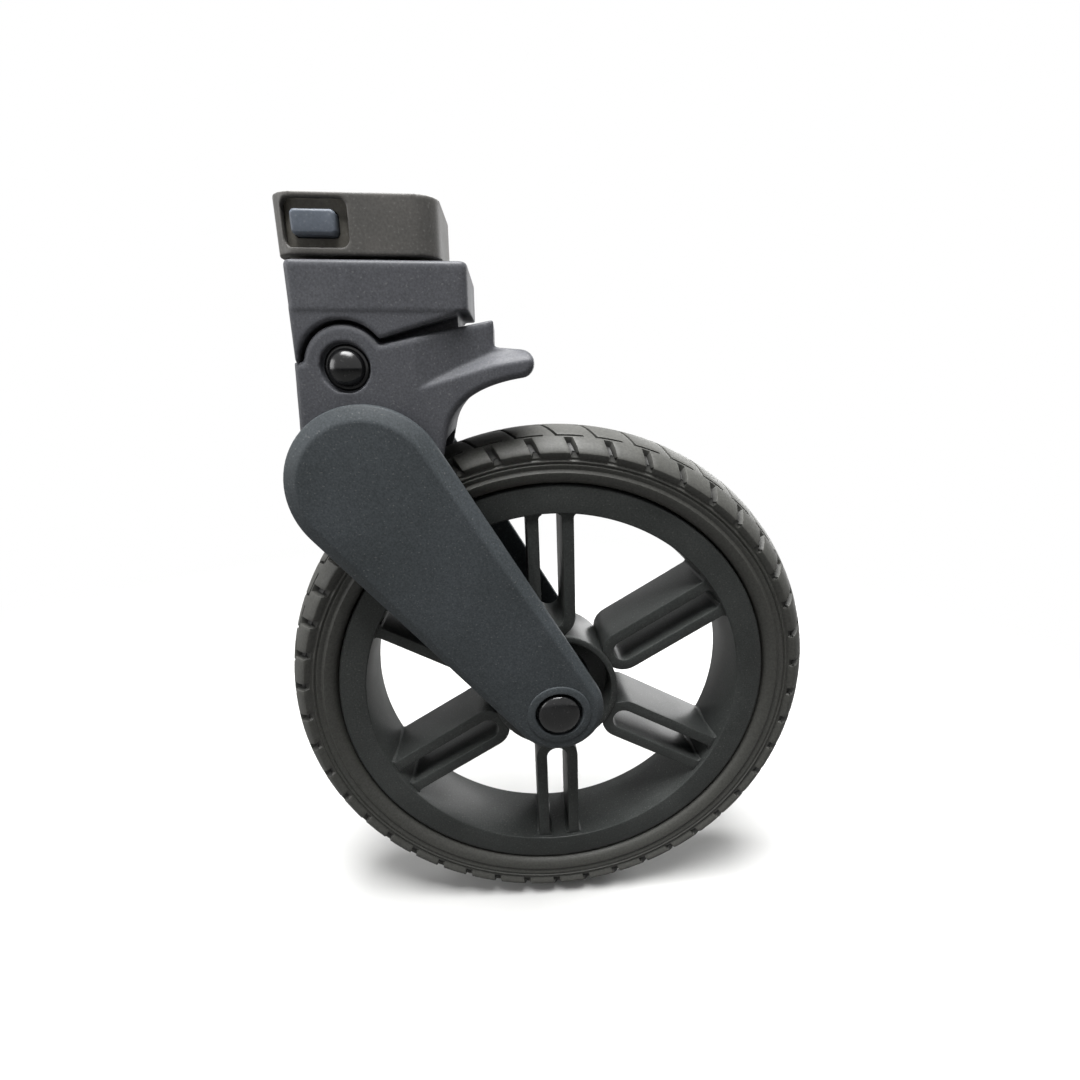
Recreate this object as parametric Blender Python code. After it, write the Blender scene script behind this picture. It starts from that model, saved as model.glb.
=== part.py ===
import math

import bmesh
import bpy
from mathutils import Vector

# Front swivel caster of a wheeled chair, with the end of the leg that carries it.
# Sizes are in millimetres and become metres when a mesh is finished.
# Z is up and zero at the leg's top face, X runs back along the trail, the axle lies along Y.
# The swivel axis is X = Y = 0, and the near side is -Y.

MM = 0.001

# Clearances
FIT = 0.3                   # between faces that seat or turn on each other
TYRE_SIDE_GAP = 2.7         # tyre flank to fork cheek
TYRE_TOP_GAP = 3.5          # tyre crown to fork crown
SWIVEL_GAP = 2.4            # leg to swivel head
BOSS_GAP = 1.0              # crown boss in the swivel head's arc
FRONT_SPLIT = 0.9           # swivel head to crown at the front
TONGUE_GAP = 0.5            # tongue to the crown's walls
OVERLAP = 1.0               # cutters and joined solids run this far past a face
WELD = 0.001                # corners closer than this after a cut are one

# Tyre and rim
TYRE_RADIUS = 100.0
TYRE_WIDTH = 32.0
TYRE_HEIGHT = 19.0          # bead seat to crown
# From bead to crown: inset from the flank, share of the height, share of the groove's lean, and in the
# rows that the shoulder grooves cross the share of their depth
TYRE_SECTION = (
    (2.0, 0.07, 1.0, None), (1.3, 0.209, 1.0, None), (1.8, 0.316, 1.0, None), (0.4, 0.444, 1.0, None),
    (0.0, 0.519, 1.0, 0.0), (0.5, 0.61, 0.85, 1.0), (3.0, 0.754, 0.45, 1.0), (5.1, 0.832, 0.08, 1.0),
    (5.7, 0.85, 0.0, 0.0), (11.5, 0.968, 0.0, None))
TREAD_BLOCKS = 45
GROOVE_START = 2.0          # degrees from the top to a groove's upper end
GROOVE_LEAN = 1.35          # degrees that its lower end lies further round
GROOVE_WIDTH = 3.2
GROOVE_DRAFT = 0.7
GROOVE_DEPTH = 2.1
RIM_WIDTH = 25.4
RIM_DEPTH = 10.0            # bead seat to barrel bore
RIM_DRAFT = 0.8             # barrel bore is tighter at its middle
RIM_CHAMFER = 0.7
LOCK_RIB_WIDTH = 10.0
LOCK_RIB_HEIGHT = 2.7

# Spokes and hub
SPOKES = 6
SPOKE_LEAN = 2.0            # degrees that the first spoke leans from upright
SPOKE_BAR = 4.2
SPOKE_SLOT = 8.2
SPOKE_WIDTH = 22.4
HUB_RING_RADIUS = 24.0
HUB_RING_WALL = 2.5
HUB_RING_WIDTH = 24.6
HUB_WALL = 2.9
HUB_WEB = 6.0
AXLE_DIAMETER = 8.0
BEARING_DIAMETER = 22.0
BEARING_WIDTH = 7.0
BEARING_SPREAD = 15.2       # free length between the wheel bearings
RACE_WALL = 2.0
SHIELD_SINK = 0.5
SLEEVE_WALL = 1.6
WASHER_THICKNESS = 1.0
WASHER_WALL = 2.2

# Fork arms
TRAIL_LENGTH = 52.5         # axle behind the swivel axis
ARM_THICKNESS = 5.2
ARM_ROOT_RADIUS = 25.2
ARM_TIP_RADIUS = 16.6
ARM_ROOT_BACK = 3.7         # root centre behind the pivot pin
ARM_ROOT_DROP = 35.5        # root centre below the pivot pin
ARM_CHAMFER_ROOT = 4.6
ARM_CHAMFER_TIP = 2.4
ARM_CHAMFER_DEPTH = 2.4
ARM_BOSS_RADIUS = 8.5
AXLE_RING_RADIUS = 11.5
AXLE_RING_HEIGHT = 0.7
AXLE_HEAD_RADIUS = 6.4
AXLE_HEAD_THICKNESS = 2.4
AXLE_CAP_RADIUS = 7.6
AXLE_CAP_GAP = 1.0          # dark ring round the cap
AXLE_CAP_RIM = 1.2
AXLE_CAP_DOME = 1.8
ARM_SCREW_RADIUS = 1.5
ARM_SCREW_LENGTH = 4.4
ARM_SCREW_HEAD = 2.9
ARM_SCREW_CIRCLE = 14.0
ARM_SCREW_ANGLES = (-12.0, -52.0, -98.0)
DOWEL_RADIUS = 4.0
DOWEL_RISE = 14.0           # above the root centre
DOWEL_IN_CROWN = 5.0
DOWEL_IN_ARM = 2.6

# Fork crown, placed from the pivot pin
CHEEK = 1.8
PIN_AHEAD = 11.4            # pin ahead of the swivel axis
PIN_OVER_TYRE = 18.5
PIN_RADIUS = 4.0
PIN_BOSS_RADIUS = 12.2
PIN_BOSS_END = 33.0         # degrees where the boss runs into the crown's top edge
CROWN_FRONT = 14.8
CROWN_FRONT_RISE = 1.6
CROWN_FRONT_RAKE = 1.0      # lean of the front wall over its height
CROWN_FRONT_DROP = 19.0
CROWN_BACK = 43.6
CROWN_TOP_SLOPE = 12.0
CROWN_WALL = 2.6
CROWN_EDGE = 0.9
CHEEK_INSET = 3.7           # cheek rounds off inside the arm's root
CHEEK_TURN = 8.0            # degrees below level where that round starts
LIP_TOP = 6.0
LIP_TIP_BACK = 51.6
LIP_TIP_RISE = 1.2
LIP_TIP_RADIUS = 4.2
LIP_UNDER = 75.0            # degrees that the lip's round turns under
THROAT_BACK = 28.6
THROAT_DROP = 20.0
THROAT_BOW = 2.5            # the throat's curve heads for a point this far behind its foot
THROAT_BOW_DROP = 6.0
PIN_CAP_RADIUS = 6.6
PIN_CAP_FLANGE = 1.2
PIN_CAP_DOME_RADIUS = 5.3
PIN_CAP_DOME = 2.9
PIN_CAP_POCKET = 2.6
PIN_CAP_POCKET_RADIUS = 7.2
PIN_EAR = 4.8               # crown wall that the pin passes through

# Swivel head
COLLAR_LENGTH = 51.0
COLLAR_SHIFT = -0.2         # centre behind the swivel axis
COLLAR_CORNER = 2.4
COLLAR_EDGE = 1.4
SKIRT_HEIGHT = 12.2
SKIRT_PROUD = 0.7           # skirt stands out from the lower body
COLLAR_HEEL = 3.8           # lower body stops short of the skirt's back
WEDGE_ANGLE = 4.5           # opening between head and crown, about the pin
TONGUE_RADIUS = 9.2
TONGUE_FLAT = 2.5           # tongue's flat end above the pin, over the rubber
CAVITY_SINK = 1.3           # cavity floor under the tongue's round end
RUBBER_HEIGHT = 9.4
RUBBER_WIDTH = 23.0
RUBBER_EDGE = 1.5
RUBBER_INSET = 5.0          # from the tongue's back
RUBBER_ROOM = 1.0           # cavity behind the rubber
CAVITY_RAMP = 7.0           # cavity floor rises over the throat
BUSH_WALL = 1.0
BUSH_LENGTH = 8.0
PIN_COVER = 0.6             # wall between pin bore and stem pocket

# Stem and its bearings
STEM_DIAMETER = 12.0
STEM_HEAD_RADIUS = 7.4
STEM_HEAD = 1.8
STEM_CHAMFER = 1.0
STEM_BEARING_DIAMETER = 24.0
STEM_BEARING_WIDTH = 6.0
STEM_SPACER_LENGTH = 4.4
STEM_SPACER_WALL = 1.7
RING_COVER = 0.9
RING_THICKNESS = 1.0
RING_BITE = 1.2
RING_WALL = 3.4
DUST_WASHER_RADIUS = 15.0

# Leg end
LEG_HEIGHT = 15.1
LEG_LENGTH = 46.3
LEG_WIDTH = 38.0
LEG_SHIFT = -5.35           # centre ahead of the swivel axis
LEG_CORNER = 6.2
LEG_WALL = 2.2
SOCKET_ROOF = 2.0
WINDOW_LENGTH = 17.9
WINDOW_HEIGHT = 12.2
WINDOW_CORNER = 2.4
WINDOW_INSET = 3.6          # from the leg's front
WINDOW_DROP = 1.3           # from the leg's top
BUTTON_LENGTH = 12.2
BUTTON_HEIGHT = 6.4
BUTTON_CORNER = 1.4
BUTTON_INSET = 2.6          # from the window's front
BUTTON_LIFT = 2.9           # from the window's sill
BUTTON_PROUD = 0.9
BUTTON_TRAVEL = 2.2
LATCH_THICKNESS = 2.0
LATCH_BITE = 1.6            # latch edge into the stem's groove
LATCH_RIM = 2.4
LATCH_ARM = 3.6
LATCH_INSET = 1.0           # from the button's front
SPRING_RADIUS = 2.2
SPRING_WIRE = 0.3
SPRING_LENGTH = 4.6
SPRING_CURLS = 3.5
SPRING_CURL_POINTS = 9
SPRING_SIDES = 6
PLUG_SCREW_RADIUS = 1.5
PLUG_SCREW_LENGTH = 4.6
PLUG_SCREW_HEAD = 2.9
PLUG_SCREW_SPREAD = 22.0

ROUND = 16                  # facets of a small turned piece
CAP_ROUND = 24              # facets of a pocket or ring round a cap
WHEEL_ROUND = 54            # facets of the rim
SMOOTH_ANGLE = math.radians(35.0)

# Heights, from the leg's top face down
LEG_BOTTOM = -LEG_HEIGHT
COLLAR_TOP = LEG_BOTTOM - SWIVEL_GAP
SKIRT_BOTTOM = COLLAR_TOP - SKIRT_HEIGHT
RING_TOP = COLLAR_TOP - RING_COVER
UPPER_BEARING_TOP = RING_TOP - RING_THICKNESS - FIT
STEM_SPACER_TOP = UPPER_BEARING_TOP - STEM_BEARING_WIDTH - FIT
LOWER_BEARING_TOP = STEM_SPACER_TOP - STEM_SPACER_LENGTH - FIT
STEM_HEAD_TOP = LOWER_BEARING_TOP - STEM_BEARING_WIDTH - FIT
STEM_END = STEM_HEAD_TOP - STEM_HEAD
STEM_POCKET_FLOOR = STEM_END - FIT
BUSH_RADIUS = PIN_RADIUS + FIT + BUSH_WALL
PIN_Z = STEM_POCKET_FLOOR - PIN_COVER - BUSH_RADIUS - FIT
AXLE_Z = PIN_Z - PIN_OVER_TYRE - TYRE_RADIUS

# Places along the trail
PIN_X = -PIN_AHEAD
AXLE_X = TRAIL_LENGTH
ROOT_X = PIN_X + ARM_ROOT_BACK
ROOT_Z = PIN_Z - ARM_ROOT_DROP
COLLAR_FRONT = COLLAR_SHIFT - COLLAR_LENGTH / 2
COLLAR_BACK = COLLAR_SHIFT + COLLAR_LENGTH / 2
LEG_FRONT = LEG_SHIFT - LEG_LENGTH / 2

# Half widths, from the wheel's middle plane out
CHEEK_INNER = TYRE_WIDTH / 2 + TYRE_SIDE_GAP
CROWN_HALF = CHEEK_INNER + CHEEK
ARM_INNER = CROWN_HALF + FIT
ARM_OUTER = ARM_INNER + ARM_THICKNESS
RING_FACE = ARM_OUTER + AXLE_RING_HEIGHT
BEARING_OUTER = BEARING_SPREAD / 2 + BEARING_WIDTH
WASHER_INNER = BEARING_OUTER + FIT
ARM_BOSS_END = WASHER_INNER + WASHER_THICKNESS + FIT
CAP_BASE = ARM_OUTER + AXLE_RING_HEIGHT - AXLE_CAP_RIM - FIT
AXLE_HEAD_INNER = CAP_BASE - FIT - AXLE_HEAD_THICKNESS
CAP_POCKET_FLOOR = AXLE_HEAD_INNER - FIT
PIN_POCKET_FLOOR = CROWN_HALF - PIN_CAP_POCKET
TONGUE_HALF = PIN_POCKET_FLOOR - FIT - PIN_EAR
CAVITY_HALF = TONGUE_HALF + TONGUE_GAP

AXLE_RADIUS = AXLE_DIAMETER / 2
STEM_RADIUS = STEM_DIAMETER / 2
BEAD_RADIUS = TYRE_RADIUS - TYRE_HEIGHT
BORE_RADIUS = BEAD_RADIUS - RIM_DEPTH

# Colour, roughness and metallic value of each finish
FINISHES = {
    "grey_moulding": ((0.085, 0.087, 0.098), 0.55, 0.0),
    "leg_moulding": ((0.14, 0.138, 0.135), 0.38, 0.0),
    "arm_moulding": ((0.045, 0.05, 0.056), 0.6, 0.0),
    "button_moulding": ((0.13, 0.145, 0.175), 0.4, 0.0),
    "black_moulding": ((0.02, 0.02, 0.021), 0.45, 0.0),
    "cap_gloss": ((0.008, 0.008, 0.009), 0.12, 0.0),
    "tyre_rubber": ((0.035, 0.035, 0.033), 0.7, 0.0),
    "spring_rubber": ((0.02, 0.02, 0.02), 0.8, 0.0),
    "steel": ((0.55, 0.55, 0.56), 0.3, 1.0),
    "sintered_bronze": ((0.42, 0.28, 0.14), 0.45, 1.0),
}


def clear_scene():
    for item in list(bpy.data.objects):
        bpy.data.objects.remove(item)


def arc(centre, radius, start, end, steps):
    points = []
    for step in range(steps + 1):
        angle = math.radians(start + (end - start) * step / steps)
        points.append((centre[0] + radius * math.cos(angle), centre[1] + radius * math.sin(angle)))
    return points


def bend(start, control, end, steps):
    # A parabola from start to end that heads for the control point.
    points = []
    for step in range(steps + 1):
        share = step / steps
        weights = ((1 - share) ** 2, 2 * share * (1 - share), share ** 2)
        points.append(tuple(
            sum(weight * point[i] for weight, point in zip(weights, (start, control, end))) for i in (0, 1)))
    return points


def rounded_rectangle(centre, length, width, radius, steps=5):
    points = []
    for quarter, (side_x, side_y) in enumerate(((1, 1), (-1, 1), (-1, -1), (1, -1))):
        corner = (centre[0] + side_x * (length / 2 - radius), centre[1] + side_y * (width / 2 - radius))
        points += arc(corner, radius, 90 * quarter, 90 * quarter + 90, steps)
    return points


def capsule(first, first_radius, second, second_radius, steps=16):
    # Outline of a strap round two unlike circles.
    run = second[0] - first[0]
    rise = second[1] - first[1]
    heading = math.degrees(math.atan2(rise, run))
    spread = math.degrees(math.acos((first_radius - second_radius) / math.hypot(run, rise)))
    return (arc(first, first_radius, heading + spread, heading + 360 - spread, steps)
            + arc(second, second_radius, heading - spread, heading + spread, steps))


def lift(outline, axis, level):
    # Flat outline to points in space: (x, z) at a Y level, or (x, y) at a Z level.
    if axis == "Y":
        return [(x, level, z) for x, z in outline]
    return [(x, y, level) for x, y in outline]


def close_solid(solid):
    bmesh.ops.recalc_face_normals(solid, faces=solid.faces)
    return solid


def loft(rings):
    solid = bmesh.new()
    rows = [[solid.verts.new(point) for point in ring] for ring in rings]
    for low, high in zip(rows, rows[1:]):
        for i in range(len(low)):
            j = (i + 1) % len(low)
            solid.faces.new((low[i], low[j], high[j], high[i]))
    solid.faces.new(reversed(rows[0]))
    solid.faces.new(rows[-1])
    return close_solid(solid)


def prism(outline, axis, low, high):
    return loft([lift(outline, axis, low), lift(outline, axis, high)])


def tube(outer, inner, low, high):
    # Upright hollow bar between two outlines with as many points each.
    solid = bmesh.new()
    rings = [lift(outline, "Z", level) for outline, level in
             ((outer, low), (outer, high), (inner, high), (inner, low))]
    rows = [[solid.verts.new(point) for point in ring] for ring in rings]
    for row, after in zip(rows, rows[1:] + rows[:1]):
        for i in range(len(row)):
            j = (i + 1) % len(row)
            solid.faces.new((row[i], row[j], after[j], after[i]))
    return close_solid(solid)


def turned(profile, centre, axis, steps=ROUND):
    # Profile of (radius, along). It closes on itself, or starts and ends on the axis.
    solid = bmesh.new()
    on_axis = profile[0][0] == 0
    rows = []
    for radius, along in profile:
        row = []
        for step in range(steps if radius else 1):
            angle = math.tau * step / steps
            across = radius * math.cos(angle)
            up = radius * math.sin(angle)
            spot = (across, along, up) if axis == "Y" else (across, up, along)
            row.append(solid.verts.new(Vector(spot) + Vector(centre)))
        rows.append(row * (steps if len(row) == 1 else 1))
    following = rows[1:] if on_axis else rows[1:] + rows[:1]
    for row, after in zip(rows, following):
        for i in range(steps):
            j = (i + 1) % steps
            corners = []
            for corner in (row[i], row[j], after[j], after[i]):
                if corner not in corners:
                    corners.append(corner)
            solid.faces.new(corners)
    return close_solid(solid)


def disc(centre, axis, radius, low, high, steps=ROUND):
    middle = (centre[0], centre[2] if axis == "Y" else centre[1])
    return prism(arc(middle, radius, 0, 360 - 360 / steps, steps - 1), axis, low, high)


def ring(centre, axis, inner, outer, low, high, steps=ROUND):
    return turned([(inner, low), (outer, low), (outer, high), (inner, high)], centre, axis, steps)


def box(low, high):
    outline = [(low[0], low[1]), (high[0], low[1]), (high[0], high[1]), (low[0], high[1])]
    return prism(outline, "Z", low[2], high[2])


def combine(base, tool, operation):
    items = []
    for label, solid in (("base", base), ("tool", tool)):
        mesh = bpy.data.meshes.new(label)
        solid.to_mesh(mesh)
        item = bpy.data.objects.new(label, mesh)
        bpy.context.scene.collection.objects.link(item)
        items.append(item)
    modifier = items[0].modifiers.new("combine", "BOOLEAN")
    modifier.operation = operation
    modifier.object = items[1]
    result = bmesh.new()
    result.from_object(items[0], bpy.context.evaluated_depsgraph_get())
    bmesh.ops.dissolve_degenerate(result, edges=result.edges, dist=WELD)
    for item in items:
        bpy.data.objects.remove(item)
    return result


def carve(base, *tools):
    for tool in tools:
        base = combine(base, tool, "DIFFERENCE")
    return base


def join(base, *tools):
    for tool in tools:
        base = combine(base, tool, "UNION")
    return base


def soften(solid, keep, width):
    # Chamfer the edges for which keep says yes.
    edges = [edge for edge in solid.edges if keep(edge)]
    bmesh.ops.bevel(solid, geom=edges, offset=width, segments=1, affect="EDGES", profile=0.5)
    return close_solid(solid)


def on_plane(edge, axis_index, level):
    return all(abs(vert.co[axis_index] - level) < 0.01 for vert in edge.verts)


def make_finish(name, finish):
    colour, roughness, metallic = FINISHES[finish]
    material = bpy.data.materials.new(name)
    material.use_nodes = True
    shader = material.node_tree.nodes["Principled BSDF"]
    shader.inputs["Base Color"].default_value = (*colour, 1.0)
    shader.inputs["Roughness"].default_value = roughness
    shader.inputs["Metallic"].default_value = metallic
    material.diffuse_color = (*colour, 1.0)
    return material


def make_anchor(name, place, parent=None):
    anchor = bpy.data.objects.new(name, None)
    bpy.context.scene.collection.objects.link(anchor)
    anchor.parent = parent
    base = parent["place"] if parent else (0.0, 0.0, 0.0)
    anchor["place"] = place
    anchor.location = [(spot - start) * MM for spot, start in zip(place, base)]
    return anchor


def add_part(name, solid, anchor, finish):
    # The mesh is kept from its anchor, which lies on the axis that the piece moves about.
    bmesh.ops.translate(solid, verts=solid.verts, vec=-Vector(anchor["place"]))
    bmesh.ops.scale(solid, verts=solid.verts, vec=(MM, MM, MM))
    mesh = bpy.data.meshes.new(name)
    solid.to_mesh(mesh)
    mesh.shade_smooth()
    mesh.set_sharp_from_angle(angle=SMOOTH_ANGLE)
    mesh.materials.append(make_finish(name, finish))
    part = bpy.data.objects.new(name, mesh)
    part.parent = anchor
    bpy.context.scene.collection.objects.link(part)
    return part


def bearing(centre, axis, bore, outer, low, high):
    # One ring with its shield sunk between the two races, on the high face.
    inner_race = bore + RACE_WALL
    outer_race = outer - RACE_WALL
    shield = high - math.copysign(SHIELD_SINK, high - low)
    return turned([
        (bore, low), (outer, low), (outer, high), (outer_race, high), (outer_race, shield),
        (inner_race, shield), (inner_race, high), (bore, high),
    ], centre, axis)


def countersunk(place, side, shank, length, head, room=0.0):
    # Countersunk screw along Y with its face at place, running to the given side.
    # With room it is the cutter for its hole, which also opens the mouth.
    end = length + room
    points = [(head + room, 0), (shank + room, head - shank), (shank + room, end), (0, end)]
    mouth = [(0, -OVERLAP), (head + room, -OVERLAP)] if room else [(0, 0)]
    return turned([(radius, side * along) for radius, along in mouth + points], place, "Y", ROUND // 2)


def dome(place, side, stages, dome_radius, dome_height, steps=4):
    # Stepped cap along Y: flat stages of (radius, end), then a low dome.
    profile = [(0, 0)]
    level = 0
    for radius, end in stages:
        profile += [(radius, side * level), (radius, side * end)]
        level = end
    for step in range(1, steps):
        angle = math.pi / 2 * step / steps
        profile.append((dome_radius * math.cos(angle), side * (level + dome_height * math.sin(angle))))
    profile.append((0, side * (level + dome_height)))
    if stages[-1][0] > dome_radius:
        profile.insert(1 + 2 * len(stages), (dome_radius, side * level))
    return turned(profile, place, "Y")


def tyre_rows():
    # Closed section from the near bead over the crown: (across, radius, lean, groove depth).
    half = TYRE_WIDTH / 2
    bead = RIM_WIDTH / 2 - RIM_CHAMFER
    rib = LOCK_RIB_WIDTH / 2 - FIT
    seat = BEAD_RADIUS + FIT
    height = TYRE_RADIUS - seat
    side = [(rib, seat - LOCK_RIB_HEIGHT, 1.0, None), (rib, seat, 1.0, None), (bead, seat, 1.0, None)]
    side += [(half - inset, seat + share * height, lean, depth) for inset, share, lean, depth in TYRE_SECTION]
    near = [(-across, *row) for across, *row in side]
    return near + [(0.0, TYRE_RADIUS, 0.0, None)] + side[::-1]


def make_tyre():
    # In each pitch a plain row has a vertex at both edges of the groove, a grooved row four across it.
    heart = BEAD_RADIUS + TYRE_HEIGHT / 2
    wide = math.degrees(GROOVE_WIDTH / 2 / TYRE_RADIUS)
    floor = wide - math.degrees(GROOVE_DRAFT / TYRE_RADIUS)
    solid = bmesh.new()
    pitches = []
    for block in range(TREAD_BLOCKS):
        pitch = []
        for across, radius, lean, depth in tyre_rows():
            edges = ((-wide, 0.0), (wide, 0.0))
            if depth is not None:
                edges = (edges[0], (-floor, depth), (floor, depth), edges[1])
            sink = Vector((across, radius - heart)).normalized() * GROOVE_DEPTH
            row = []
            for edge, share in edges:
                turn = math.radians(360 * block / TREAD_BLOCKS + GROOVE_START + GROOVE_LEAN * lean + edge)
                reach = radius - sink.y * share
                row.append(solid.verts.new((AXLE_X + reach * math.sin(turn), across - sink.x * share,
                                            AXLE_Z + reach * math.cos(turn))))
            pitch.append(row)
        pitches.append(pitch)
    for pitch, after in zip(pitches, pitches[1:] + pitches[:1]):
        for i, row in enumerate(pitch):
            j = (i + 1) % len(pitch)
            other = pitch[j]
            solid.faces.new((row[-1], after[i][0], after[j][0], other[-1]))
            if len(row) == len(other):
                for k in range(len(row) - 1):
                    solid.faces.new((row[k], row[k + 1], other[k + 1], other[k]))
            else:
                solid.faces.new(row + other[::-1])
    return close_solid(solid)


def make_rim():
    half = RIM_WIDTH / 2
    rib = LOCK_RIB_WIDTH / 2
    return turned([
        (BORE_RADIUS, -half), (BEAD_RADIUS - RIM_CHAMFER, -half), (BEAD_RADIUS, RIM_CHAMFER - half),
        (BEAD_RADIUS, -rib), (BEAD_RADIUS - LOCK_RIB_HEIGHT, -rib), (BEAD_RADIUS - LOCK_RIB_HEIGHT, rib),
        (BEAD_RADIUS, rib), (BEAD_RADIUS, half - RIM_CHAMFER), (BEAD_RADIUS - RIM_CHAMFER, half),
        (BORE_RADIUS, half), (BORE_RADIUS - RIM_DRAFT, 0),
    ], (AXLE_X, 0, AXLE_Z), "Y", WHEEL_ROUND)


def make_hub():
    seat = BEARING_DIAMETER / 2 + FIT
    boss = seat + HUB_WALL
    web = HUB_WEB / 2
    ring_inner = HUB_RING_RADIUS - HUB_RING_WALL
    ring_half = HUB_RING_WIDTH / 2
    shoulder = BEARING_SPREAD / 2 - FIT
    sleeve = AXLE_RADIUS + FIT + SLEEVE_WALL + FIT
    return turned([
        (seat, -BEARING_OUTER), (boss, -BEARING_OUTER), (boss, -web), (ring_inner, -web),
        (ring_inner, -ring_half), (HUB_RING_RADIUS, -ring_half), (HUB_RING_RADIUS, ring_half),
        (ring_inner, ring_half), (ring_inner, web), (boss, web), (boss, BEARING_OUTER),
        (seat, BEARING_OUTER), (seat, shoulder), (sleeve, shoulder), (sleeve, -shoulder), (seat, -shoulder),
    ], (AXLE_X, 0, AXLE_Z), "Y", WHEEL_ROUND)


def make_spoke(turn):
    # Twin bars closed by a round end on the hub, drawn outwards from the axle to the barrel.
    slot = SPOKE_SLOT / 2
    half = slot + SPOKE_BAR
    root = HUB_RING_RADIUS - SPOKE_BAR / 3 + half
    end = math.sqrt((BORE_RADIUS - RIM_DRAFT - FIT) ** 2 - half ** 2)
    flat = ([(end, -half)] + arc((root, 0), half, 270, 90, 10) + [(end, half), (end, slot)]
            + arc((root, 0), slot, 90, 270, 8) + [(end, -slot)])
    angle = math.radians(turn)
    outline = [(AXLE_X + out * math.sin(angle) + side * math.cos(angle),
                AXLE_Z + out * math.cos(angle) - side * math.sin(angle)) for out, side in flat]
    wide = SPOKE_WIDTH / 2
    past = wide + OVERLAP
    hub_room = disc((AXLE_X, 0, AXLE_Z), "Y", HUB_RING_RADIUS + FIT, -past, past, WHEEL_ROUND)
    return carve(prism(outline, "Y", -wide, wide), hub_room)


def screw_places():
    return [(ROOT_X + ARM_SCREW_CIRCLE * math.cos(math.radians(angle)),
             ROOT_Z + ARM_SCREW_CIRCLE * math.sin(math.radians(angle))) for angle in ARM_SCREW_ANGLES]


def arm_fasteners(side, room=0.0):
    heads = CHEEK_INNER + FIT
    return [countersunk((x, side * heads, z), side, ARM_SCREW_RADIUS, ARM_SCREW_LENGTH, ARM_SCREW_HEAD, room)
            for x, z in screw_places()]


def dowel(side, room=0.0):
    low = CROWN_HALF - DOWEL_IN_CROWN - room
    high = ARM_INNER + DOWEL_IN_ARM + room
    return disc((ROOT_X, 0, ROOT_Z + DOWEL_RISE), "Y", DOWEL_RADIUS + room, side * low, side * high)


def make_arm(side):
    axle = (AXLE_X, 0, AXLE_Z)
    root = (ROOT_X, ROOT_Z)
    tip = (AXLE_X, AXLE_Z)
    full = capsule(root, ARM_ROOT_RADIUS, tip, ARM_TIP_RADIUS)
    face = capsule(root, ARM_ROOT_RADIUS - ARM_CHAMFER_ROOT, tip, ARM_TIP_RADIUS - ARM_CHAMFER_TIP)
    arm = loft([
        lift(full, "Y", side * ARM_INNER),
        lift(full, "Y", side * (ARM_OUTER - ARM_CHAMFER_DEPTH)),
        lift(face, "Y", side * ARM_OUTER),
    ])
    pocket = AXLE_CAP_RADIUS + AXLE_CAP_GAP
    boss_root = ARM_INNER + ARM_THICKNESS / 3
    ring_root = ARM_INNER + ARM_THICKNESS / 4
    arm = join(
        arm,
        disc(axle, "Y", ARM_BOSS_RADIUS, side * ARM_BOSS_END, side * boss_root),
        disc(axle, "Y", AXLE_RING_RADIUS, side * ring_root, side * RING_FACE, CAP_ROUND))
    return carve(
        arm,
        disc(axle, "Y", pocket, side * CAP_POCKET_FLOOR, side * (RING_FACE + OVERLAP), CAP_ROUND),
        disc(axle, "Y", AXLE_RADIUS + FIT, side * (ARM_BOSS_END - OVERLAP),
             side * (CAP_POCKET_FLOOR + OVERLAP)),
        dowel(side, FIT),
        *arm_fasteners(side, FIT))


def crown_outline():
    pin = (PIN_X, PIN_Z)
    front = PIN_X - CROWN_FRONT
    start = 180 - math.degrees(math.asin(CROWN_FRONT_RISE / PIN_BOSS_RADIUS))
    boss = arc(pin, PIN_BOSS_RADIUS, start, PIN_BOSS_END, 16)
    back = PIN_X + CROWN_BACK
    rise = (back - boss[-1][0]) * math.tan(math.radians(CROWN_TOP_SLOPE))
    tip = (PIN_X + LIP_TIP_BACK, PIN_Z + LIP_TIP_RISE)
    lip = arc(tip, LIP_TIP_RADIUS, 90, -LIP_UNDER, 8)
    throat = (PIN_X + THROAT_BACK, PIN_Z - THROAT_DROP)
    under = bend(lip[-1], (throat[0] + THROAT_BOW, PIN_Z - THROAT_BOW_DROP), throat, 8)
    cheek = arc((ROOT_X, ROOT_Z), ARM_ROOT_RADIUS - CHEEK_INSET, -CHEEK_TURN, CHEEK_TURN - 180, 16)
    return ([(front, PIN_Z + CROWN_FRONT_RISE)] + boss + [(back, boss[-1][1] + rise), (back, PIN_Z + LIP_TOP)]
            + lip + under[1:] + cheek + [(front - CROWN_FRONT_RAKE, PIN_Z - CROWN_FRONT_DROP)])


def rubber_top():
    return PIN_Z + TONGUE_FLAT - FIT


def rubber_back():
    return COLLAR_BACK - COLLAR_HEEL - RUBBER_INSET


def tongue_step():
    return PIN_X + TONGUE_RADIUS + CAVITY_SINK


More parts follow.
